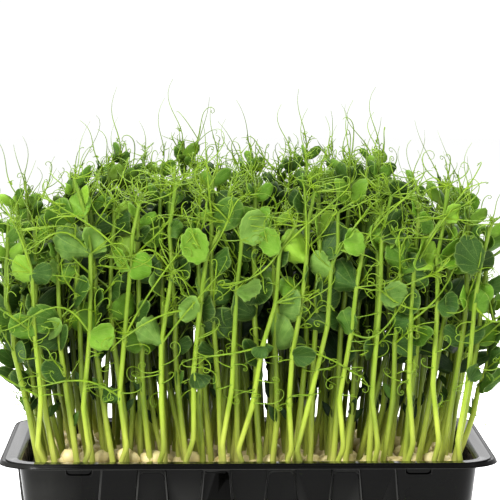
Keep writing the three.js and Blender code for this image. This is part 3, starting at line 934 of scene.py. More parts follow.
def is_inside(balls):
    """Whether balls keep a leaf's overhang inside the room that the shoots have."""
    return all(
        low + LEAF_OVERHANG < value < high - LEAF_OVERHANG
        for ball in balls for low, value, high in zip(LIMIT_LOW, ball, LIMIT_HIGH)
    )


def kinks_of(chance, shoot):
    """Where a stem bends: at its foot and at every node, each time another way."""
    knots = sorted([leaf["t"] for leaf in shoot["leaves"]] + shoot["scales"] + shoot.get("outer", []))
    way = chance.uniform(0, 2 * math.pi)
    kinks = [(0, Vector()), (0.045, level(way) * chance.uniform(0.3, 1.2))]
    for t in knots:
        way += math.pi + chance.uniform(-0.9, 0.9)
        kinks.append((t, level(way) * chance.uniform(0.5, KINK)))
    return [*kinks, (1, Vector())]


def kinked_point(shoot, t):
    """A point of the stem's own line."""
    kinks = shoot["kinks"]
    i = next(i for i in range(1, len(kinks)) if t <= kinks[i][0] or i == len(kinks) - 1)
    (low, before), (high, after) = kinks[i - 1], kinks[i]
    return stem_point(shoot, t) + before.lerp(after, (t - low) / max(1e-6, high - low))


def stem_path(shoot, steps):
    knots = [t for t, _ in shoot["kinks"]]
    marks = sorted({*knots, *(i / steps for i in range(steps + 1))})
    points, radii = [], []
    for t in marks:
        swelling = sum(math.exp(-(((t - knot) * 60) ** 2)) for knot in knots[2:-1])
        points.append(kinked_point(shoot, t) - UP * (4 if t == 0 else 0))
        radii.append(STEM_FOOT + (STEM_TOP - STEM_FOOT) * t ** 0.9 + NODE_SWELL * swelling)
    return points, radii


def any_way(chance):
    """A unit vector in any direction."""
    z, turn = chance.uniform(-1, 1), chance.uniform(0, 2 * math.pi)
    return Vector((math.sqrt(1 - z * z) * math.cos(turn), math.sqrt(1 - z * z) * math.sin(turn), z))


def tapered(points, foot, tip):
    """A tube's path through points, and its radii from its foot to its tip."""
    last = len(points) - 1
    return points, [foot + (tip - foot) * i / last for i in range(last + 1)]


def curl(chance, start, heading, length, bend, coils, steps, foot, tip):
    """A tendril that leaves along heading, bends as it goes, and winds up towards its tip."""
    axis = heading.cross(any_way(chance)).normalized()
    points = [start]
    heading = heading.normalized()
    for i in range(steps):
        share = (i + 0.5) / steps
        stride = length / steps * (1.35 - 0.7 * share)
        angle = bend / steps + coils * 2 * math.pi * 2.6 * share ** 1.6 / steps
        heading = Quaternion(axis, angle) @ heading
        points.append(inside_limits(points[-1] + heading * stride + axis * (stride * 0.12)))
    return tapered(points, foot, tip)


def loose_curl(chance, start, heading, kind):
    """A curl of a kind, with a length, a bend and a number of coils of its own."""
    lengths, bends, coils, steps, foot, tip = kind
    length, bend = chance.uniform(*lengths), chance.uniform(*bends)
    return curl(chance, start, heading, length, bend, chance.uniform(*coils), steps, foot, tip)


def smooth_path(corners, steps, foot, tip):
    """A tube's path smoothed through four corners."""
    a, b, c, d = corners
    points = []
    for i in range(steps + 1):
        t = i / steps
        near, far = (1 - t) ** 2, t * t
        points.append(a * near * (1 - t) + b * (3 * t * near) + c * (3 * far * (1 - t)) + d * (far * t))
    return tapered(points, foot, tip)


def branched_tendril(chance, corners, branches, reach):
    """A leaf stalk along four corners, with tendrils that leave it in turn."""
    stalk = smooth_path(corners, 7, TENDRIL_FOOT, 0.38)
    paths = [stalk]
    points = stalk[0]
    for k in range(branches):
        i = 3 + k * 4 // max(1, branches)
        ahead = (points[min(7, i + 1)] - points[i - 1]).normalized()
        side = ahead.cross(any_way(chance)).normalized()
        heading = ahead + side * chance.uniform(0.5, 1.1)
        paths.append(curl(
            chance, points[i], heading, reach * chance.uniform(0.7, 1.3),
            chance.uniform(-0.6, 0.9), chance.uniform(0.2, 1.3), 10, 0.32, TENDRIL_TIP,
        ))
    ahead = (points[-1] - points[-2]).normalized()
    paths.append(curl(
        chance, points[-1], ahead, reach * chance.uniform(0.6, 1.1),
        chance.uniform(-0.5, 0.5), chance.uniform(0.3, 1.4), 12, 0.34, TENDRIL_TIP,
    ))
    return paths


def crown_room(start):
    """What share of its full length a shoot's end has there: the stand falls off at its two ends."""
    crown = CROWN - CROWN_FALL * (abs(start.x) / CROWN_HALF) ** 3
    return kept(0.22, (crown - start.z) / CROWN_DEPTH, 1)


def plume(chance, start, heading, length, tips):
    """A young shoot end: a short stalk that parts into a few fine, bowed tendrils."""
    room = crown_room(start)
    length *= room
    stalk = curl(chance, start, heading, length, chance.uniform(-1.0, 1.1), 0, 4, 0.5, 0.24)
    paths = [stalk]
    points = stalk[0]
    turn = chance.uniform(*AROUND)
    for k in range(tips):
        along = 3.9 * (0.12 + 0.88 * (k + 0.5) / tips)
        i = int(along)
        spot = points[i].lerp(points[i + 1], along - i)
        ahead = (points[i + 1] - points[i]).normalized()
        turn += 2.4
        side = (level(turn) - ahead * level(turn).dot(ahead)).normalized()
        size = chance.uniform(5, 15) * (1.1 - 0.3 * k / tips) * room
        onward = UP * chance.uniform(-0.5, 1.1) + ahead * 0.5 + any_way(chance) * 1.6
        paths.append(bowed(
            spot, ahead * 0.6 + side, onward, size, chance.uniform(0.24, 0.36), 0.11
        ))
    return paths


def bowed(start, heading, onward, length, foot, tip):
    """A fine tendril that sets out one way and bows over to another."""
    heading, onward = heading.normalized(), onward.normalized()
    points = [start]
    for i in range(4):
        share = (i + 0.5) / 4
        step = heading.lerp(onward, share ** 1.3).normalized() * (length / 4)
        points.append(inside_limits(points[-1] + step))
    return tapered(points, foot, tip)


def laid_pea(bm, where):
    """The mesh of a pea or of its skin, laid by a matrix."""
    bmesh.ops.transform(bm, verts=bm.verts, matrix=where)
    for face in bm.faces:
        face.smooth = True
        face.material_index = PEA
    return to_mesh(bm)


def pea_mesh(chance, at, turn):
    """A pea that has given up its store: round, dented and wrinkled."""
    bm = bmesh.new()
    bmesh.ops.create_uvsphere(bm, u_segments=11, v_segments=7, radius=1)
    seed = chance.uniform(0, 99)
    for vert in bm.verts:
        dent = 0.10 * noise.noise(vert.co * 1.7 + Vector((seed, 0, 0)))
        vert.co *= 1 + dent + 0.035 * noise.noise(vert.co * 5 + Vector((0, seed, 0)))
    turned = Matrix.Rotation(turn, 4, "Z") @ Matrix.Rotation(chance.uniform(-0.3, 0.3), 4, "X")
    return laid_pea(bm, Matrix.Translation(at) @ turned @ Matrix.Diagonal((*PEA_RADII, 1)))


def leaf_finish(chance, at):
    """A leaf's finish: painted shade inside and low down, painted light on top, all kinds at the edge."""
    inside = min(STAND_HALF_Y - abs(at.y), STAND_HALF_X - abs(at.x)) > EDGE_DEPTH
    if at.z > TOP_FROM:
        return chance.choice((GREEN, LIT_GREEN, LIT_GREEN, SHADED_GREEN))
    if inside:
        return chance.choice((SHADED_GREEN, SHADED_GREEN, GREEN))
    if at.z < LOW_BELOW:
        return chance.choice((SHADED_GREEN, SHADED_GREEN, SHADED_GREEN, GREEN, BLUE_GREEN))
    return chance.choice((GREEN, GREEN, BLUE_GREEN, SHADED_GREEN, LIT_GREEN, SHADED_GREEN))


def stalk_corners(chance, start, turn):
    """Where a leaf stalk runs: out and up, or along the edge of the stand past other stems."""
    out, along = level(turn), level(turn + math.pi / 2)
    reach, rise = chance.uniform(8, 16), chance.uniform(8, 20)
    drift = chance.uniform(-24, 24)
    return [
        inside_limits(start + out * (reach * far) + along * (drift * far) + UP * (rise * high))
        for far, high in ((0, 0), (0.4, 0.45), (0.8, 0.85), (1, 1.25))
    ]


def drawn_down(mesh):
    """The mesh, drawn down towards the ends of the tray, more the higher it reaches."""
    for vert in mesh.vertices:
        share = kept(0, (abs(vert.co.x) - FALL_FROM) / (FALL_TO - FALL_FROM), 1)
        rise = max(0, vert.co.z - FALL_FOOT) / TALLEST
        vert.co.z -= END_FALL * eased(share) * rise
    return mesh


def shoot_meshes(chance, shoot, forms, sides, branches):
    """Stem, pea, leaves and tendrils of one shoot, as separate meshes."""
    shoot["kinks"] = kinks_of(chance, shoot)
    tendrils, leaves = [], []
    for leaf in shoot["leaves"]:
        tone = chance.random()
        form = chance.choice(forms)
        own_place = kinked_point(shoot, leaf["t"])
        shift = own_place - stem_point(shoot, leaf["t"])
        finish = leaf_finish(chance, own_place)
        for wing in (1, -1):
            at, axis, tilted, normal = lobe_frame(shoot, leaf, wing)
            size = leaf["size"] * chance.uniform(0.94, 1.04)
            leaves.append(cut_leaf(form, at + shift, axis, tilted, normal, size, wing > 0, tone, finish))
        thread = leaf.get("thread")
        if thread:
            corners = [point + shift for point in thread["points"]]
        else:
            corners = stalk_corners(chance, own_place, leaf["turn"] + chance.uniform(-1, 1))
        tendrils += branched_tendril(chance, corners, branches, chance.uniform(*STALK_CURLS))
    for t in shoot.get("outer", ()):
        own_place = kinked_point(shoot, t)
        facing = shoot["facing"] + math.pi / 2
        at = own_place + level(shoot["facing"]) * 1.2
        side = chance.choice((-1, 1))
        leaves.append(turned_leaf(
            chance, plain_forms, at, side, chance.uniform(0.8, 1.15), chance.uniform(-0.4, 0.8),
            chance.uniform(-0.6, 0.7), chance.uniform(-0.6, 0.35), leaf_finish(chance, at), facing,
        ))
        if chance.random() < OUTER_STALKS:
            corners = stalk_corners(chance, own_place, shoot["facing"] + chance.uniform(-0.6, 0.6))
            tendrils += branched_tendril(chance, corners, branches, chance.uniform(*STALK_CURLS))
    for t in shoot["scales"]:
        turn = chance.uniform(*AROUND)
        for spread in (-0.6, 0.6):
            out = level(turn + spread)
            rising = (out + UP * chance.uniform(0.5, 1.6)).normalized()
            across = rising.cross(out.cross(rising)).normalized()
            # Scales low on the stem often take the shaded green: painted shade.
            form, finish = chance.choice(scale_forms), chance.choice((SHADED_GREEN, GREEN))
            leaves.append(cut_leaf(
                form, kinked_point(shoot, t), rising, -across, across.cross(rising),
                chance.uniform(0.5, 0.85), False, 0.3, finish,
            ))
    for k in range(BUDS):
        blade = {
            "t": chance.uniform(0.93, 0.99), "turn": 2.1 * k + shoot["base"], "spread": 0,
            "tilt": chance.uniform(0.1, 0.7), "size": 1,
        }
        at, axis, tilted, normal = lobe_frame(shoot, blade, 1)
        size = chance.uniform(0.35, 0.6)
        # Buds at the top take the lit green half the time: painted light.
        finish = chance.choice((GREEN, LIT_GREEN))
        leaves.append(cut_leaf(
            chance.choice(bud_forms), at, axis, tilted, normal, size, False, chance.random(), finish
        ))
    if shoot["lead"]:
        lead = shoot["lead"]["points"]
        way = chance.uniform(*AROUND)
        swung = [
            inside_limits(point + level(way + far) * reach)
            for point, far, reach in zip(lead[1:], (0, 2.6, 1.2), (4, 9, 6))
        ]
        tendrils.append(smooth_path([lead[0], *swung], 10, 0.40, 0.09))
        tendrils += plume(chance, lead[0].lerp(lead[1], 0.4), lead[2] - lead[0], 11, 4)
    for _ in range(PLUMES):
        start = kinked_point(shoot, chance.uniform(0.93, 1))
        heading = UP * 0.9 + level(chance.uniform(*AROUND)) * chance.uniform(0.3, 1.2)
        tendrils += plume(chance, start, heading, chance.uniform(7, 17), PLUME_TIPS)
    low_nodes = [chance.uniform(0.26, 0.44)] if "facing" in shoot else []
    for t in [*shoot.get("outer", ()), *low_nodes]:
        heading = level(shoot["facing"] + chance.uniform(-1.3, 1.3)) + UP * chance.uniform(-0.2, 0.8)
        tendrils.append(loose_curl(chance, kinked_point(shoot, t), heading, EDGE_CURL))
    pea_at = Vector((shoot["x"], shoot["y"], BED_HEIGHT + PEA_LIFT + PEA_RADII[2]))
    return [drawn_down(mesh) for mesh in (
        tubes([stem_path(shoot, 16)], sides, STEM),
        tubes(tendrils, 4, TENDRIL),
        pea_mesh(chance, pea_at, shoot["base"]),
        *leaves,
    )]


def in_light(tree, point):
    """How far a place is out of the stand's own shade: all the way at its sides and its top."""
    across, along, height = apart(tree, point)
    off_middle = (across.maths("ABSOLUTE") * 0.56).maths("MAXIMUM", along.maths("ABSOLUTE"))
    at_side = ((off_middle - LIT_OUT_FROM) * 55.0).clamped()
    at_top = ((height - LIT_UP_FROM) * 26.0).clamped()
    return at_side.maths("MAXIMUM", at_top) * 0.9 + 0.1


def close_thin(tree, skin, share, colour):
    """Ends a finish that lets a share of the light through, in a colour."""
    glow = Wire.node(tree, "BsdfTranslucent", {}, {"Color": (*colour, 1)})
    close(tree, Wire.node(tree, "MixShader", {}, {0: share, 1: skin, 2: glow}))


def stem_green():
    material, tree = new_finish("stem_green")
    point = object_point(tree)
    _, _, height = apart(tree, point)
    streak = noise_of(tree, stretched(tree, point, 1, 1, 0.06), 1500, 3)
    patch = noise_of(tree, point, 45, 3)
    up_stem = (height - 0.040) * 6.0 + (patch - 0.5) * 0.22
    colour = ramp(
        tree, up_stem.clamped(),
        (0.0, (0.68, 0.68, 0.17)), (0.09, (0.54, 0.63, 0.080)), (0.24, (0.26, 0.37, 0.024)),
        (0.50, (0.13, 0.215, 0.012)), (1.0, (0.080, 0.16, 0.010)),
    )
    streaked = mixed(tree, (streak - 0.45).clamped() * 1.2, colour, (0.36, 0.40, 0.09))
    own = noise_of(tree, stretched(tree, point, 1, 1, 0.02), 130, 2)
    own_tone = ((own - 0.48) * 5.0).clamped() * 0.62
    streaked = mixed(tree, own_tone, streaked, (0.085, 0.155, 0.010))
    lit = in_light(tree, point)
    lit_low = ((0.115 - height) * 16.0).clamped() * 0.65
    lit_at_all = lit.maths("MAXIMUM", lit_low)
    shaded = mixed(tree, lit_at_all, (0.020, 0.036, 0.002), streaked)
    skin = surface(
        tree, shaded, patch * 0.2 + 0.30, (0.35, 0.0002, streak), {"Specular IOR Level": 0.16}
    )
    close_thin(tree, skin, lit_at_all * 0.18, (0.25, 0.33, 0.040))
    return material


def leaf_green(name, deep, light, bloom):
    """Leaf skin between a deep and a light green, with a waxy bloom of its own strength."""
    material, tree = new_finish(name)
    point = object_point(tree)
    tone, rim = painted(tree, "tone"), painted(tree, "rim")
    on_leaf = Wire.node(tree, "UVMap", {"uv_map": "leaf"})
    out, up, _ = apart(tree, on_leaf)
    out, up = out - 0.5, up - 0.5
    mottle = noise_of(tree, point, 210, 4, 0.6)
    drift = noise_of(tree, point, 60, 2)
    fan = (up.maths("ARCTAN2", out) * 9.0 + drift * 2.4).maths("SINE")
    veins = ((0.16 - fan.maths("ABSOLUTE")) * 6.0).clamped()
    net = Wire.node(
        tree, "TexVoronoi", {"feature": "DISTANCE_TO_EDGE"}, {"Vector": on_leaf, "Scale": 46.0}
    )
    mesh_veins = ((0.09 - net) * 9.0).clamped()
    base = mixed(tree, (tone * 0.75 + mottle * 0.6 - 0.17).clamped(), deep, light)
    waxed = mixed(tree, (mottle * 1.3 - 0.35).clamped() * bloom, base, (0.24, 0.36, 0.09))
    veined = mixed(tree, veins * 0.42 + mesh_veins * 0.20, waxed, (0.23, 0.34, 0.06))
    # Painted highlight: the leaf's edge is lightened as if light caught and shone through its rim.
    edge_highlit = mixed(tree, ((rim - 0.78) * 5.0).clamped() * 0.35, veined, (0.22, 0.33, 0.06))
    lit = in_light(tree, point)
    shaded = mixed(tree, lit, (0.001, 0.006, 0.001), edge_highlit)
    bump = (0.5, 0.0005, mottle - veins * 0.5)
    skin = surface(tree, shaded, mottle * 0.25 + 0.36, bump, {"Specular IOR Level": 0.1})
    close_thin(tree, skin, lit * 0.22, (0.115, 0.255, 0.004))
    return material


def tendril_green():
    material, tree = new_finish("tendril_green")
    patch = noise_of(tree, object_point(tree), 110, 3)
    colour = mixed(tree, patch, (0.012, 0.060, 0.002), (0.27, 0.42, 0.014))
    skin = surface(tree, colour, 0.4, None, {"Specular IOR Level": 0.3})
    close_thin(tree, skin, 0.25, (0.14, 0.24, 0.008))
    return material


def pea_cream():
    material, tree = new_finish("pea_cream")
    point = object_point(tree)
    blotch = noise_of(tree, point, 160, 5, 0.65)
    tan = mixed(tree, blotch, (0.78, 0.69, 0.34), (0.52, 0.40, 0.15))
    fresh = mixed(tree, (noise_of(tree, point, 55, 2) - 0.5).clamped() * 1.6, tan, (0.44, 0.47, 0.16))
    close(tree, surface(tree, fresh, 0.5, (0.6, 0.0004, blotch)))
    return material


# Each kind of leaf: its name, its deep green, its light green and the strength of its bloom.
LEAF_KINDS = (
    ("leaf_green", (0.007, 0.038, 0.002), (0.096, 0.235, 0.008), 0.15),
    ("leaf_blue_green", (0.012, 0.052, 0.007), (0.105, 0.215, 0.026), 0.5),
    # A lit copy of the leaf green, for painted light.
    ("leaf_light", (0.052, 0.16, 0.005), (0.19, 0.34, 0.018), 0.35),
    # A shaded copy of the leaf green, for painted shade.
    ("leaf_deep", (0.003, 0.017, 0.002), (0.017, 0.064, 0.006), 0.10),
)
LEAF_SLOTS = [kind[0] for kind in LEAF_KINDS]
plant_finishes = [
    stem_green(), pea_cream(), tendril_green(), *(leaf_green(*kind) for kind in LEAF_KINDS)
]


def give_outer_leaves(chance, shoot):
    """More nodes on a shoot that stands at an edge of the tray, with their leaves turned outwards."""
    x, y = shoot["x"], shoot["y"]
    at_side = abs(y) > EDGE_FROM_Y
    if at_side or abs(x) > EDGE_FROM_X:
        shoot["facing"] = math.copysign(math.pi / 2, y) if at_side else (0 if x > 0 else math.pi)
        taken = [leaf["t"] for leaf in shoot["leaves"]]
        tried = [chance.uniform(0.5, 0.62), chance.uniform(0.68, 0.78), chance.uniform(0.82, 0.9)]
        shoot["outer"] = [t for t in tried if all(abs(t - other) > 0.045 for other in taken)]


chance = random.Random(29)
for node in sorted({shoot["node"] for shoot in shoots}):
    own = [shoot for shoot in shoots if shoot["node"] == node]
    meshes = []
    for shoot in own:
        shoot["scales"] = [chance.uniform(0.2, 0.34)] if chance.random() < SCALED else []
        give_outer_leaves(chance, shoot)
        meshes += shoot_meshes(chance, shoot, clasp_forms, 8, 3)
    number = f"{node + 1:02d}"
    place(f"pea_shoots_{number}", joined(meshes), plant_finishes, LEAF_SLOTS[node % 4], f"shoots_{number}")


# ---- More shoots: the peas are sown edge to edge, so many more stand between the first ones. They
# keep off every stem that is already there.
MORE_SHOOTS, SOWING_TRIES, FIRST_OWNER = 150, 30000, 1000
MORE_GROUPS, GROUP_WIDTH = 20, 45
SOWN_HALF_X, SOWN_HALF_Y = 111, 61
PEA_GAP = 8.6
MORE_SHORTEST, MORE_TALLEST, MORE_FALL = 112, 158, 10
MORE_STEM_BALL, MORE_LEAF_BALL = 1.5, 0.6
LOW_FROM_X, LOW_FROM_Y = 95, 45
# Heights and sizes of the leaves of each shoot, and of the low ones of a shoot beyond these limits.
MORE_LEAVES = (((0.88, 0.96), (0.6, 0.9)), ((0.72, 0.84), (0.8, 1.15)), ((0.56, 0.68), (0.8, 1.15)))
LOW_LEAVES = (((0.38, 0.5), (0.7, 1.0)),)


def sow_more(chance, feet):
    """Feet for more shoots, none nearer to another than a pea's width."""
    places = []
    for _ in range(SOWING_TRIES):
        x, y = chance.uniform(-SOWN_HALF_X, SOWN_HALF_X), chance.uniform(-SOWN_HALF_Y, SOWN_HALF_Y)
        if all((x - a) ** 2 + (y - b) ** 2 > PEA_GAP ** 2 for a, b in feet):
            feet.append((x, y))
            places.append((x, y))
            if len(places) == MORE_SHOOTS:
                break
    return places


chance = random.Random(41)
more = []
for x, y in sow_more(chance, [(shoot["x"], shoot["y"]) for shoot in shoots]):
    outward = math.atan2(y * 2, x)
    at_edge = abs(y) > LOW_FROM_Y or abs(x) > LOW_FROM_X

    def propose():
        base = chance.uniform(0, 6)
        tried = grown_stem(chance.uniform, x, y, (MORE_SHORTEST, MORE_TALLEST), 11, 7, 4.5)
        tried["height"] -= MORE_FALL * (abs(x) / SOWN_HALF_X) ** 3
        return {**tried, "base": base, "lead": None, "balls": stem_balls(tried, MORE_STEM_BALL)}

    owner = FIRST_OWNER + len(more)
    shoot = find_place(owner, propose, 40, is_inside)
    if not shoot:
        continue
    shoot["owner"] = owner
    shoot["scales"] = [chance.uniform(0.2, 0.36)]
    for heights, sizes in MORE_LEAVES + (LOW_LEAVES if at_edge else ()):
        def propose():
            tried = grown_leaf(chance.uniform, outward, heights, sizes, 2.2, (0.6, 1.4), (0.1, 0.9))
            return {**tried, "balls": leaf_balls(shoot, tried, MORE_LEAF_BALL)}

        leaf = find_place(owner, propose, 24, is_inside)
        if leaf:
            shoot["leaves"].append(leaf)
    more.append(shoot)

more.sort(key=lambda shoot: (round((shoot["x"] + SOWN_HALF_X) / GROUP_WIDTH), shoot["y"]))
for group in range(MORE_GROUPS):
    own = more[group * len(more) // MORE_GROUPS : (group + 1) * len(more) // MORE_GROUPS]
    meshes = []
    for shoot in own:
        give_outer_leaves(chance, shoot)
        meshes += shoot_meshes(chance, shoot, plain_forms, 6, 2)
    place(f"more_shoots_{group + 1:02d}", joined(meshes), plant_finishes, LEAF_SLOTS[group % 4])


# ---- Front shoots: the outermost shoots on the front stand just inside the rim and lean out over it.
# Their stems bend at each node, where a round stipule turns to the light and a stalk with tendrils
# goes off to one side.
FRONT_FOOT_Y, FRONT_FOOT_Z, FRONT_LEAN, LEAN_TO = -62.5, 42, 13.5, 100
FRONT_GIRTH, FRONT_TOP_GIRTH, NODE_GIRTH, STALK_GIRTH = 1.55, 0.95, 0.16, 0.66
FRONT_PLUMES, HIGH_CURLS, LOW_CURLS = 3, 7, 4
HIGH_CURL = ((20, 46), (-1.4, 1.4), (0.3, 2.0), 16, 0.36, 0.13)
LOW_CURL = ((16, 34), (-1.2, 1.2), (1.1, 2.3), 18, 0.34, 0.12)
# Points (x, height) of each stem, from its foot up through its nodes to its tip.
FRONT_STEMS = {
    "a": ((-88.5, 42), (-87, 78), (-83, 118), (-82.3, 160), (-85, 180), (-90.8, 199)),
    "b": ((-69.5, 42), (-68, 84), (-65, 116), (-61.9, 152), (-60.5, 170), (-57, 186)),
    "c": ((-49, 42), (-46, 80), (-46, 112), (-40, 150), (-41.5, 172), (-38, 196)),
    "d": ((-35, 42), (-29, 97), (-25.8, 130), (-22.2, 158), (-13, 176), (-10, 192)),
    "e": ((-12.5, 42), (-9, 88), (-8, 112), (-6.5, 140), (-3.8, 167), (-9, 182)),
    "f": ((-1.8, 42), (1.6, 78), (7, 111), (14, 134), (15.8, 161), (24, 174)),
    "g": ((18.7, 42), (21, 80), (22.6, 106), (27.5, 134), (29.8, 156), (31, 176), (34, 192)),
    "h": ((28.9, 42), (31, 78), (35.8, 99), (41, 122), (42.7, 152), (46.4, 163), (46.1, 181)),
    "i": ((45, 42), (47.5, 82), (53.4, 118), (56, 142), (59.9, 165), (68.9, 180)),
    "j": ((65.5, 42), (64.5, 84), (68.6, 137), (69, 168), (74, 190)),
    "k": ((83, 42), (84, 88), (84.6, 124), (86.2, 152), (94, 168), (101, 178), (104, 193)),
    "l": ((97, 42), (96.5, 90), (98.5, 133), (98, 156), (102, 180), (103, 195)),
    "m": ((113, 42), (115, 92), (117.8, 132), (120.6, 153), (126.3, 175)),
    "n": ((-106, 42), (-109, 84), (-112, 118), (-113, 150), (-119, 172)),
}
# Stipules: stem, which of its points, side, size, roll, turn, lean, finish. The lit and shaded greens
# among the finishes are painted light and painted shade.
FRONT_STIPULES = (
    ("a", 3, -1, 1.12, 0.45, -0.2, 0.15, BLUE_GREEN), ("a", 3, 1, 0.85, -0.9, 0.5, 0.1, BLUE_GREEN),
    ("a", 4, -1, 0.75, -0.1, 0.3, -0.2, LIT_GREEN), ("a", 2, 1, 1.15, 0.15, 0.1, 0.5, LIT_GREEN),
    ("b", 3, 1, 1.05, 0.05, -0.2, 0.1, GREEN), ("b", 3, -1, 0.7, -0.2, 0.8, 0.3, LIT_GREEN),
    ("b", 1, -1, 0.6, 0.9, 0.4, 0.2, SHADED_GREEN), ("c", 3, 1, 0.8, 0.4, 0.9, 0.2, SHADED_GREEN),
    ("c", 2, -1, 0.9, 0.1, -0.3, 0.3, BLUE_GREEN), ("c", 4, 1, 0.7, 0, 0.3, 0, GREEN),
    ("d", 3, -1, 1.0, 0.1, -0.15, 0, LIT_GREEN), ("d", 2, -1, 1.05, -0.25, 0.1, 0.55, BLUE_GREEN),
    ("d", 1, 1, 0.8, 1.0, 0.2, 0.5, SHADED_GREEN), ("e", 4, 1, 1.0, -0.05, 0.1, 0.1, BLUE_GREEN),
    ("e", 4, -1, 0.95, -0.6, 0.5, -0.1, LIT_GREEN), ("e", 3, 1, 0.7, 0.5, 0.3, 0.2, BLUE_GREEN),
    ("f", 4, -1, 0.8, -0.05, 0.2, 0.2, LIT_GREEN), ("f", 2, 1, 0.65, 1.2, 0.4, 0.3, SHADED_GREEN),
    ("f", 2, -1, 0.6, 1.3, -0.2, 0.1, SHADED_GREEN), ("g", 4, -1, 0.95, 0.05, -0.1, 0.1, LIT_GREEN),
    ("g", 2, 1, 0.8, 0.6, -0.4, 0.4, SHADED_GREEN), ("g", 3, -1, 1.05, 0.5, 0.4, -0.1, SHADED_GREEN),
    ("h", 4, -1, 1.1, 0.1, 0.2, 0.1, BLUE_GREEN), ("h", 3, -1, 1.0, 0.6, 0.3, 0.1, SHADED_GREEN),
    ("h", 5, 1, 0.7, 0.3, 0.7, 0.1, LIT_GREEN), ("i", 4, -1, 1.02, 0.08, -0.1, 0, LIT_GREEN),
    ("i", 3, -1, 1.0, 0.3, 0.1, 0.1, SHADED_GREEN), ("i", 2, -1, 0.7, -0.3, 0.4, 0.2, GREEN),
    ("j", 2, 1, 0.8, 0.6, -0.1, 0, BLUE_GREEN), ("j", 3, 1, 0.95, 0.2, 0.5, -0.2, SHADED_GREEN),
    ("j", 3, -1, 0.75, 0.2, 0.4, 0.3, LIT_GREEN), ("k", 3, -1, 1.05, 0.15, 0.1, 0.1, GREEN),
    ("k", 3, 1, 0.9, -0.1, 0.5, -0.2, LIT_GREEN), ("k", 2, -1, 0.95, 0.5, 0.2, 0, SHADED_GREEN),
    ("k", 5, 1, 0.6, 0.2, 0.3, 0.2, LIT_GREEN), ("l", 3, 1, 0.9, 0.2, 0.3, 0.1, GREEN),
    ("l", 2, 1, 0.95, -0.1, 0.2, 0.3, SHADED_GREEN), ("m", 3, -1, 1.1, 0.1, -0.2, 0.1, SHADED_GREEN),
    ("m", 2, 1, 0.8, -0.3, 0.3, 0.2, GREEN), ("m", 1, 1, 0.6, -0.4, 0.4, 0.2, SHADED_GREEN),
    ("n", 3, -1, 1.05, 0, 0.1, 0.1, LIT_GREEN), ("n", 3, 1, 0.95, 0.4, -0.2, 0.1, SHADED_GREEN),
    ("n", 2, -1, 0.8, 0.5, 0.1, 0.3, GREEN),
)
# Stalks: stem, which of its points, and the points (x, height) that the stalk runs through.
FRONT_STALKS = (
    ("a", 3, ((-95, 176), (-106, 168))), ("a", 2, ((-96, 138), (-112, 128))),
    ("b", 3, ((-72, 169), (-90, 180))), ("b", 2, ((-54, 138), (-38.7, 158))),
    ("b", 1, ((-84, 96), (-101, 92))), ("c", 2, ((-36, 126), (-24, 140))),
    ("c", 3, ((-50, 166), (-58, 160))), ("d", 3, ((-16, 166), (-11.4, 177))),
    ("d", 2, ((-44, 131), (-60, 120))), ("e", 4, ((-12, 180), (-24, 190))),
    ("f", 4, ((26, 172), (40, 184))), ("f", 4, ((8, 150), (-2, 146))),
    ("f", 2, ((-4, 108), (-20, 106))), ("g", 4, ((30, 170), (29, 186))),
    ("g", 2, ((34, 110), (50, 100))), ("h", 4, ((48, 166), (58, 178))),
    ("i", 4, ((68, 178), (82, 190))), ("i", 2, ((66, 112), (76, 128))),
    ("j", 2, ((78, 142), (92, 148))), ("k", 3, ((94, 168), (110, 190))),
    ("k", 2, ((104, 140), (109, 160))), ("l", 2, ((84, 128), (72, 138))),
    ("m", 2, ((128, 120), (135, 128))), ("m", 3, ((112, 164), (104, 158))),
    ("n", 3, ((-120, 176), (-131, 190))), ("n", 2, ((-124, 128), (-136, 136))),
    ("n", 1, ((-124, 92), (-135, 100))),
)


def front_point(x, z, ahead=0):
    """A point of a front shoot, on the sheet in which those shoots lean out."""
    share = kept(0, (z - FRONT_FOOT_Z) / LEAN_TO, 1)
    return inside_limits(Vector((x, FRONT_FOOT_Y - FRONT_LEAN * (2 - share) * share - ahead, z)))


def bent_stem(corners, foot, top):
    """A stem through its nodes, straight between them, with its bends a little rounded."""
    line = [corners[0]]
    for here, there in zip(corners, corners[1:]):
        line += [here.lerp(there, share) for share in (0.12, 0.5, 0.88, 1)]
    for i in range(1, len(line) - 1):
        if (i % 4) == 0:
            line[i] = line[i] * 0.6 + (line[i - 1] + line[i + 1]) * 0.2
    _, radii = tapered(line, foot, top)
    return line, [radius + (NODE_GIRTH if i and i % 4 == 0 else 0) for i, radius in enumerate(radii)]


# Peas and split skins that lie on the heap at the front.
LOOSE_PEAS = (
    (-95.5, -52, 48.7), (-65.7, -52, 49.4), (-49.7, -52, 48.0), (-78, -44, 47), (-30, -44, 46),
    (12, -50, 45.2), (25, -44, 46.4), (52, -50, 45.6), (70, -46, 46.8), (88, -50, 45.8),
)
SKINS = (
    (-60.5, -53, 48.6), (-53.5, -53, 47.8), (-101, -52, 46.5), (-14, -52, 47), (35, -51, 47.2),
    (62, -52, 46.6), (79, -51, 47), (97, -52, 47),
)


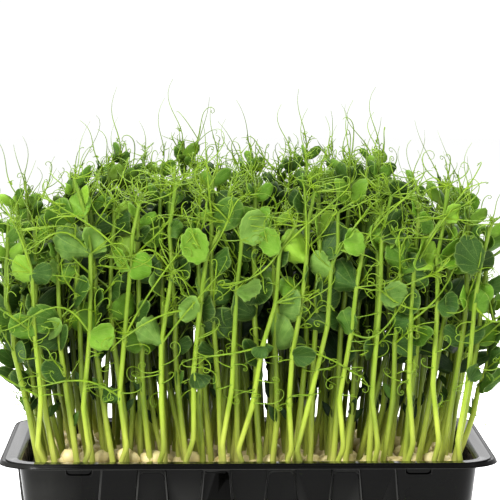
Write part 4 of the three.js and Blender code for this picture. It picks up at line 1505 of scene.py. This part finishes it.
def split_skin(chance, at):
    """The thin papery skin of a pea, burst in half by the shoot."""
    bm = bmesh.new()
    bmesh.ops.create_uvsphere(bm, u_segments=12, v_segments=8, radius=4.4)
    bmesh.ops.bisect_plane(
        bm, geom=[*bm.verts, *bm.edges, *bm.faces], plane_co=(0, 0, 0.6), plane_no=(0, 0.2, 1),
        clear_outer=True,
    )
    seed = chance.uniform(0, 99)
    for vert in bm.verts:
        vert.co *= 1 + 0.22 * noise.noise(vert.co / 3 + Vector((seed, 0, 0)))
    bmesh.ops.recalc_face_normals(bm, faces=bm.faces)
    bmesh.ops.solidify(bm, geom=bm.faces[:], thickness=0.3)
    bmesh.ops.recalc_face_normals(bm, faces=bm.faces)
    turn, tip = chance.uniform(*AROUND), chance.uniform(-1, 1)
    turned = Matrix.Rotation(turn, 4, "Z") @ Matrix.Rotation(tip, 4, "X")
    return laid_pea(bm, Matrix.Translation(at) @ turned)


chance = random.Random(71)
front_meshes = {slot: [] for slot in LEAF_SLOTS}
for number, (name, points) in enumerate(FRONT_STEMS.items()):
    meshes = front_meshes[LEAF_SLOTS[number % len(LEAF_SLOTS)]]
    corners = [front_point(x, z) for x, z in points]
    bend = chance.choice((-1, 1)) * chance.uniform(2.5, 5)
    foot_bend = corners[0].lerp(corners[1], 0.34) + Vector((bend, 0, 0))
    line = [corners[0], foot_bend, *corners[1:]]
    meshes.append(tubes([bent_stem(line, FRONT_GIRTH, FRONT_TOP_GIRTH)], 8, STEM))
    tendrils = []
    for stem, point, (middle, end) in FRONT_STALKS:
        if stem == name:
            start, bent = corners[point], front_point(*middle, 3.5)
            tip = front_point(*end, chance.uniform(2, 6))
            route = [start, start.lerp(bent, 0.55), bent, tip]
            tendrils.append(smooth_path(route, 7, STALK_GIRTH, 0.42))
            route = [tip.lerp(bent, 0.3), tip, tip, tip + (tip - bent) * 0.4]
            tendrils += branched_tendril(chance, route, 3, 18)
    tip = corners[-1]
    for _ in range(FRONT_PLUMES):
        heading = UP + level(chance.uniform(*AROUND)) * 0.9
        tendrils += plume(chance, tip, heading, chance.uniform(8, 15), PLUME_TIPS)
    for _ in range(LOW_CURLS):
        start = corners[1].lerp(corners[2], chance.uniform(0, 1)) - Vector((0, 1, 0))
        heading = Vector((chance.choice((-1, 1)), -0.2, chance.uniform(-0.4, 0.5)))
        tendrils.append(loose_curl(chance, start, heading, LOW_CURL))
    for _ in range(HIGH_CURLS):
        start = chance.choice(corners[3:]) - Vector((0, 1, 0))
        heading = Vector((chance.choice((-1, 1)), -0.15, chance.uniform(-0.2, 0.9)))
        tendrils.append(loose_curl(chance, start, heading, HIGH_CURL))
    meshes.append(tubes(tendrils, 4, TENDRIL))
    for stem, point, side, size, roll, turn, lean, finish in FRONT_STIPULES:
        if stem == name:
            at = corners[point] - Vector((0, 1.2, 0))
            meshes.append(turned_leaf(chance, fine_forms, at, side, size, roll, turn, lean, finish))
front_meshes[LEAF_SLOTS[0]] += [
    pea_mesh(chance, Vector(at), chance.uniform(0, 3)) for at in LOOSE_PEAS
]
front_meshes[LEAF_SLOTS[1]] += [split_skin(chance, at) for at in SKINS]
for number, (slot, meshes) in enumerate(front_meshes.items(), 1):
    place(f"front_shoots_{number:02d}", joined(meshes), plant_finishes, slot)


# ---- Stage: a plain white floor under a white sky, four soft lamps, and the camera, which stands low
# in front of the tray's long side.
bm = bmesh.new()
bmesh.ops.create_circle(bm, cap_ends=True, segments=96, radius=4)
floor = in_scene("floor", to_mesh(bm))
floor_finish, tree = new_finish("white_paper")
close(tree, Wire.node(tree, "BsdfDiffuse", {}, {"Color": (0.92, 0.92, 0.92, 1)}))
floor.data.materials.append(floor_finish)
floor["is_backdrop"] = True

world = bpy.data.worlds.new("studio")
world.use_nodes = True
sky = world.node_tree.nodes["Background"].inputs
sky["Color"].default_value = (1, 1, 1, 1)
sky["Strength"].default_value = 1.06
bpy.context.scene.world = world
bpy.context.scene.view_settings.view_transform = "Standard"


def add_lamp(name, spot, aim, size, power):
    lamp = bpy.data.lights.new(name, "AREA")
    lamp.shape = "RECTANGLE"
    lamp.size, lamp.size_y = size
    lamp.energy = power
    stand = in_scene(name, lamp)
    stand.location = spot
    stand.rotation_euler = (Vector(aim) - Vector(spot)).to_track_quat("-Z", "Y").to_euler()


add_lamp("key_lamp", (-0.6, -1.0, 0.95), (0, 0, 0.13), (0.5, 0.5), 33)
add_lamp("side_lamp", (1.0, -0.7, 0.6), (0, 0, 0.12), (0.4, 0.6), 5)
add_lamp("top_lamp", (0, 0.2, 1.1), (0, 0, 0.15), (0.8, 0.6), 20)
add_lamp("back_lamp", (0.5, 1.0, 0.8), (0, 0, 0.15), (0.6, 0.6), 12)

camera = in_scene("camera", bpy.data.cameras.new("camera"))
camera.data.lens, camera.data.sensor_width = 192.37, 36
camera.location = (-0.0276, -1.4597, 0.2952)
camera.rotation_euler = (math.radians(90 - 5.512), 0, math.radians(-1.161))
bpy.context.scene.camera = camera

size = {"cad": [list(corner) for corner in cad_box], "visual": [list(corner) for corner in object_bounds()]}
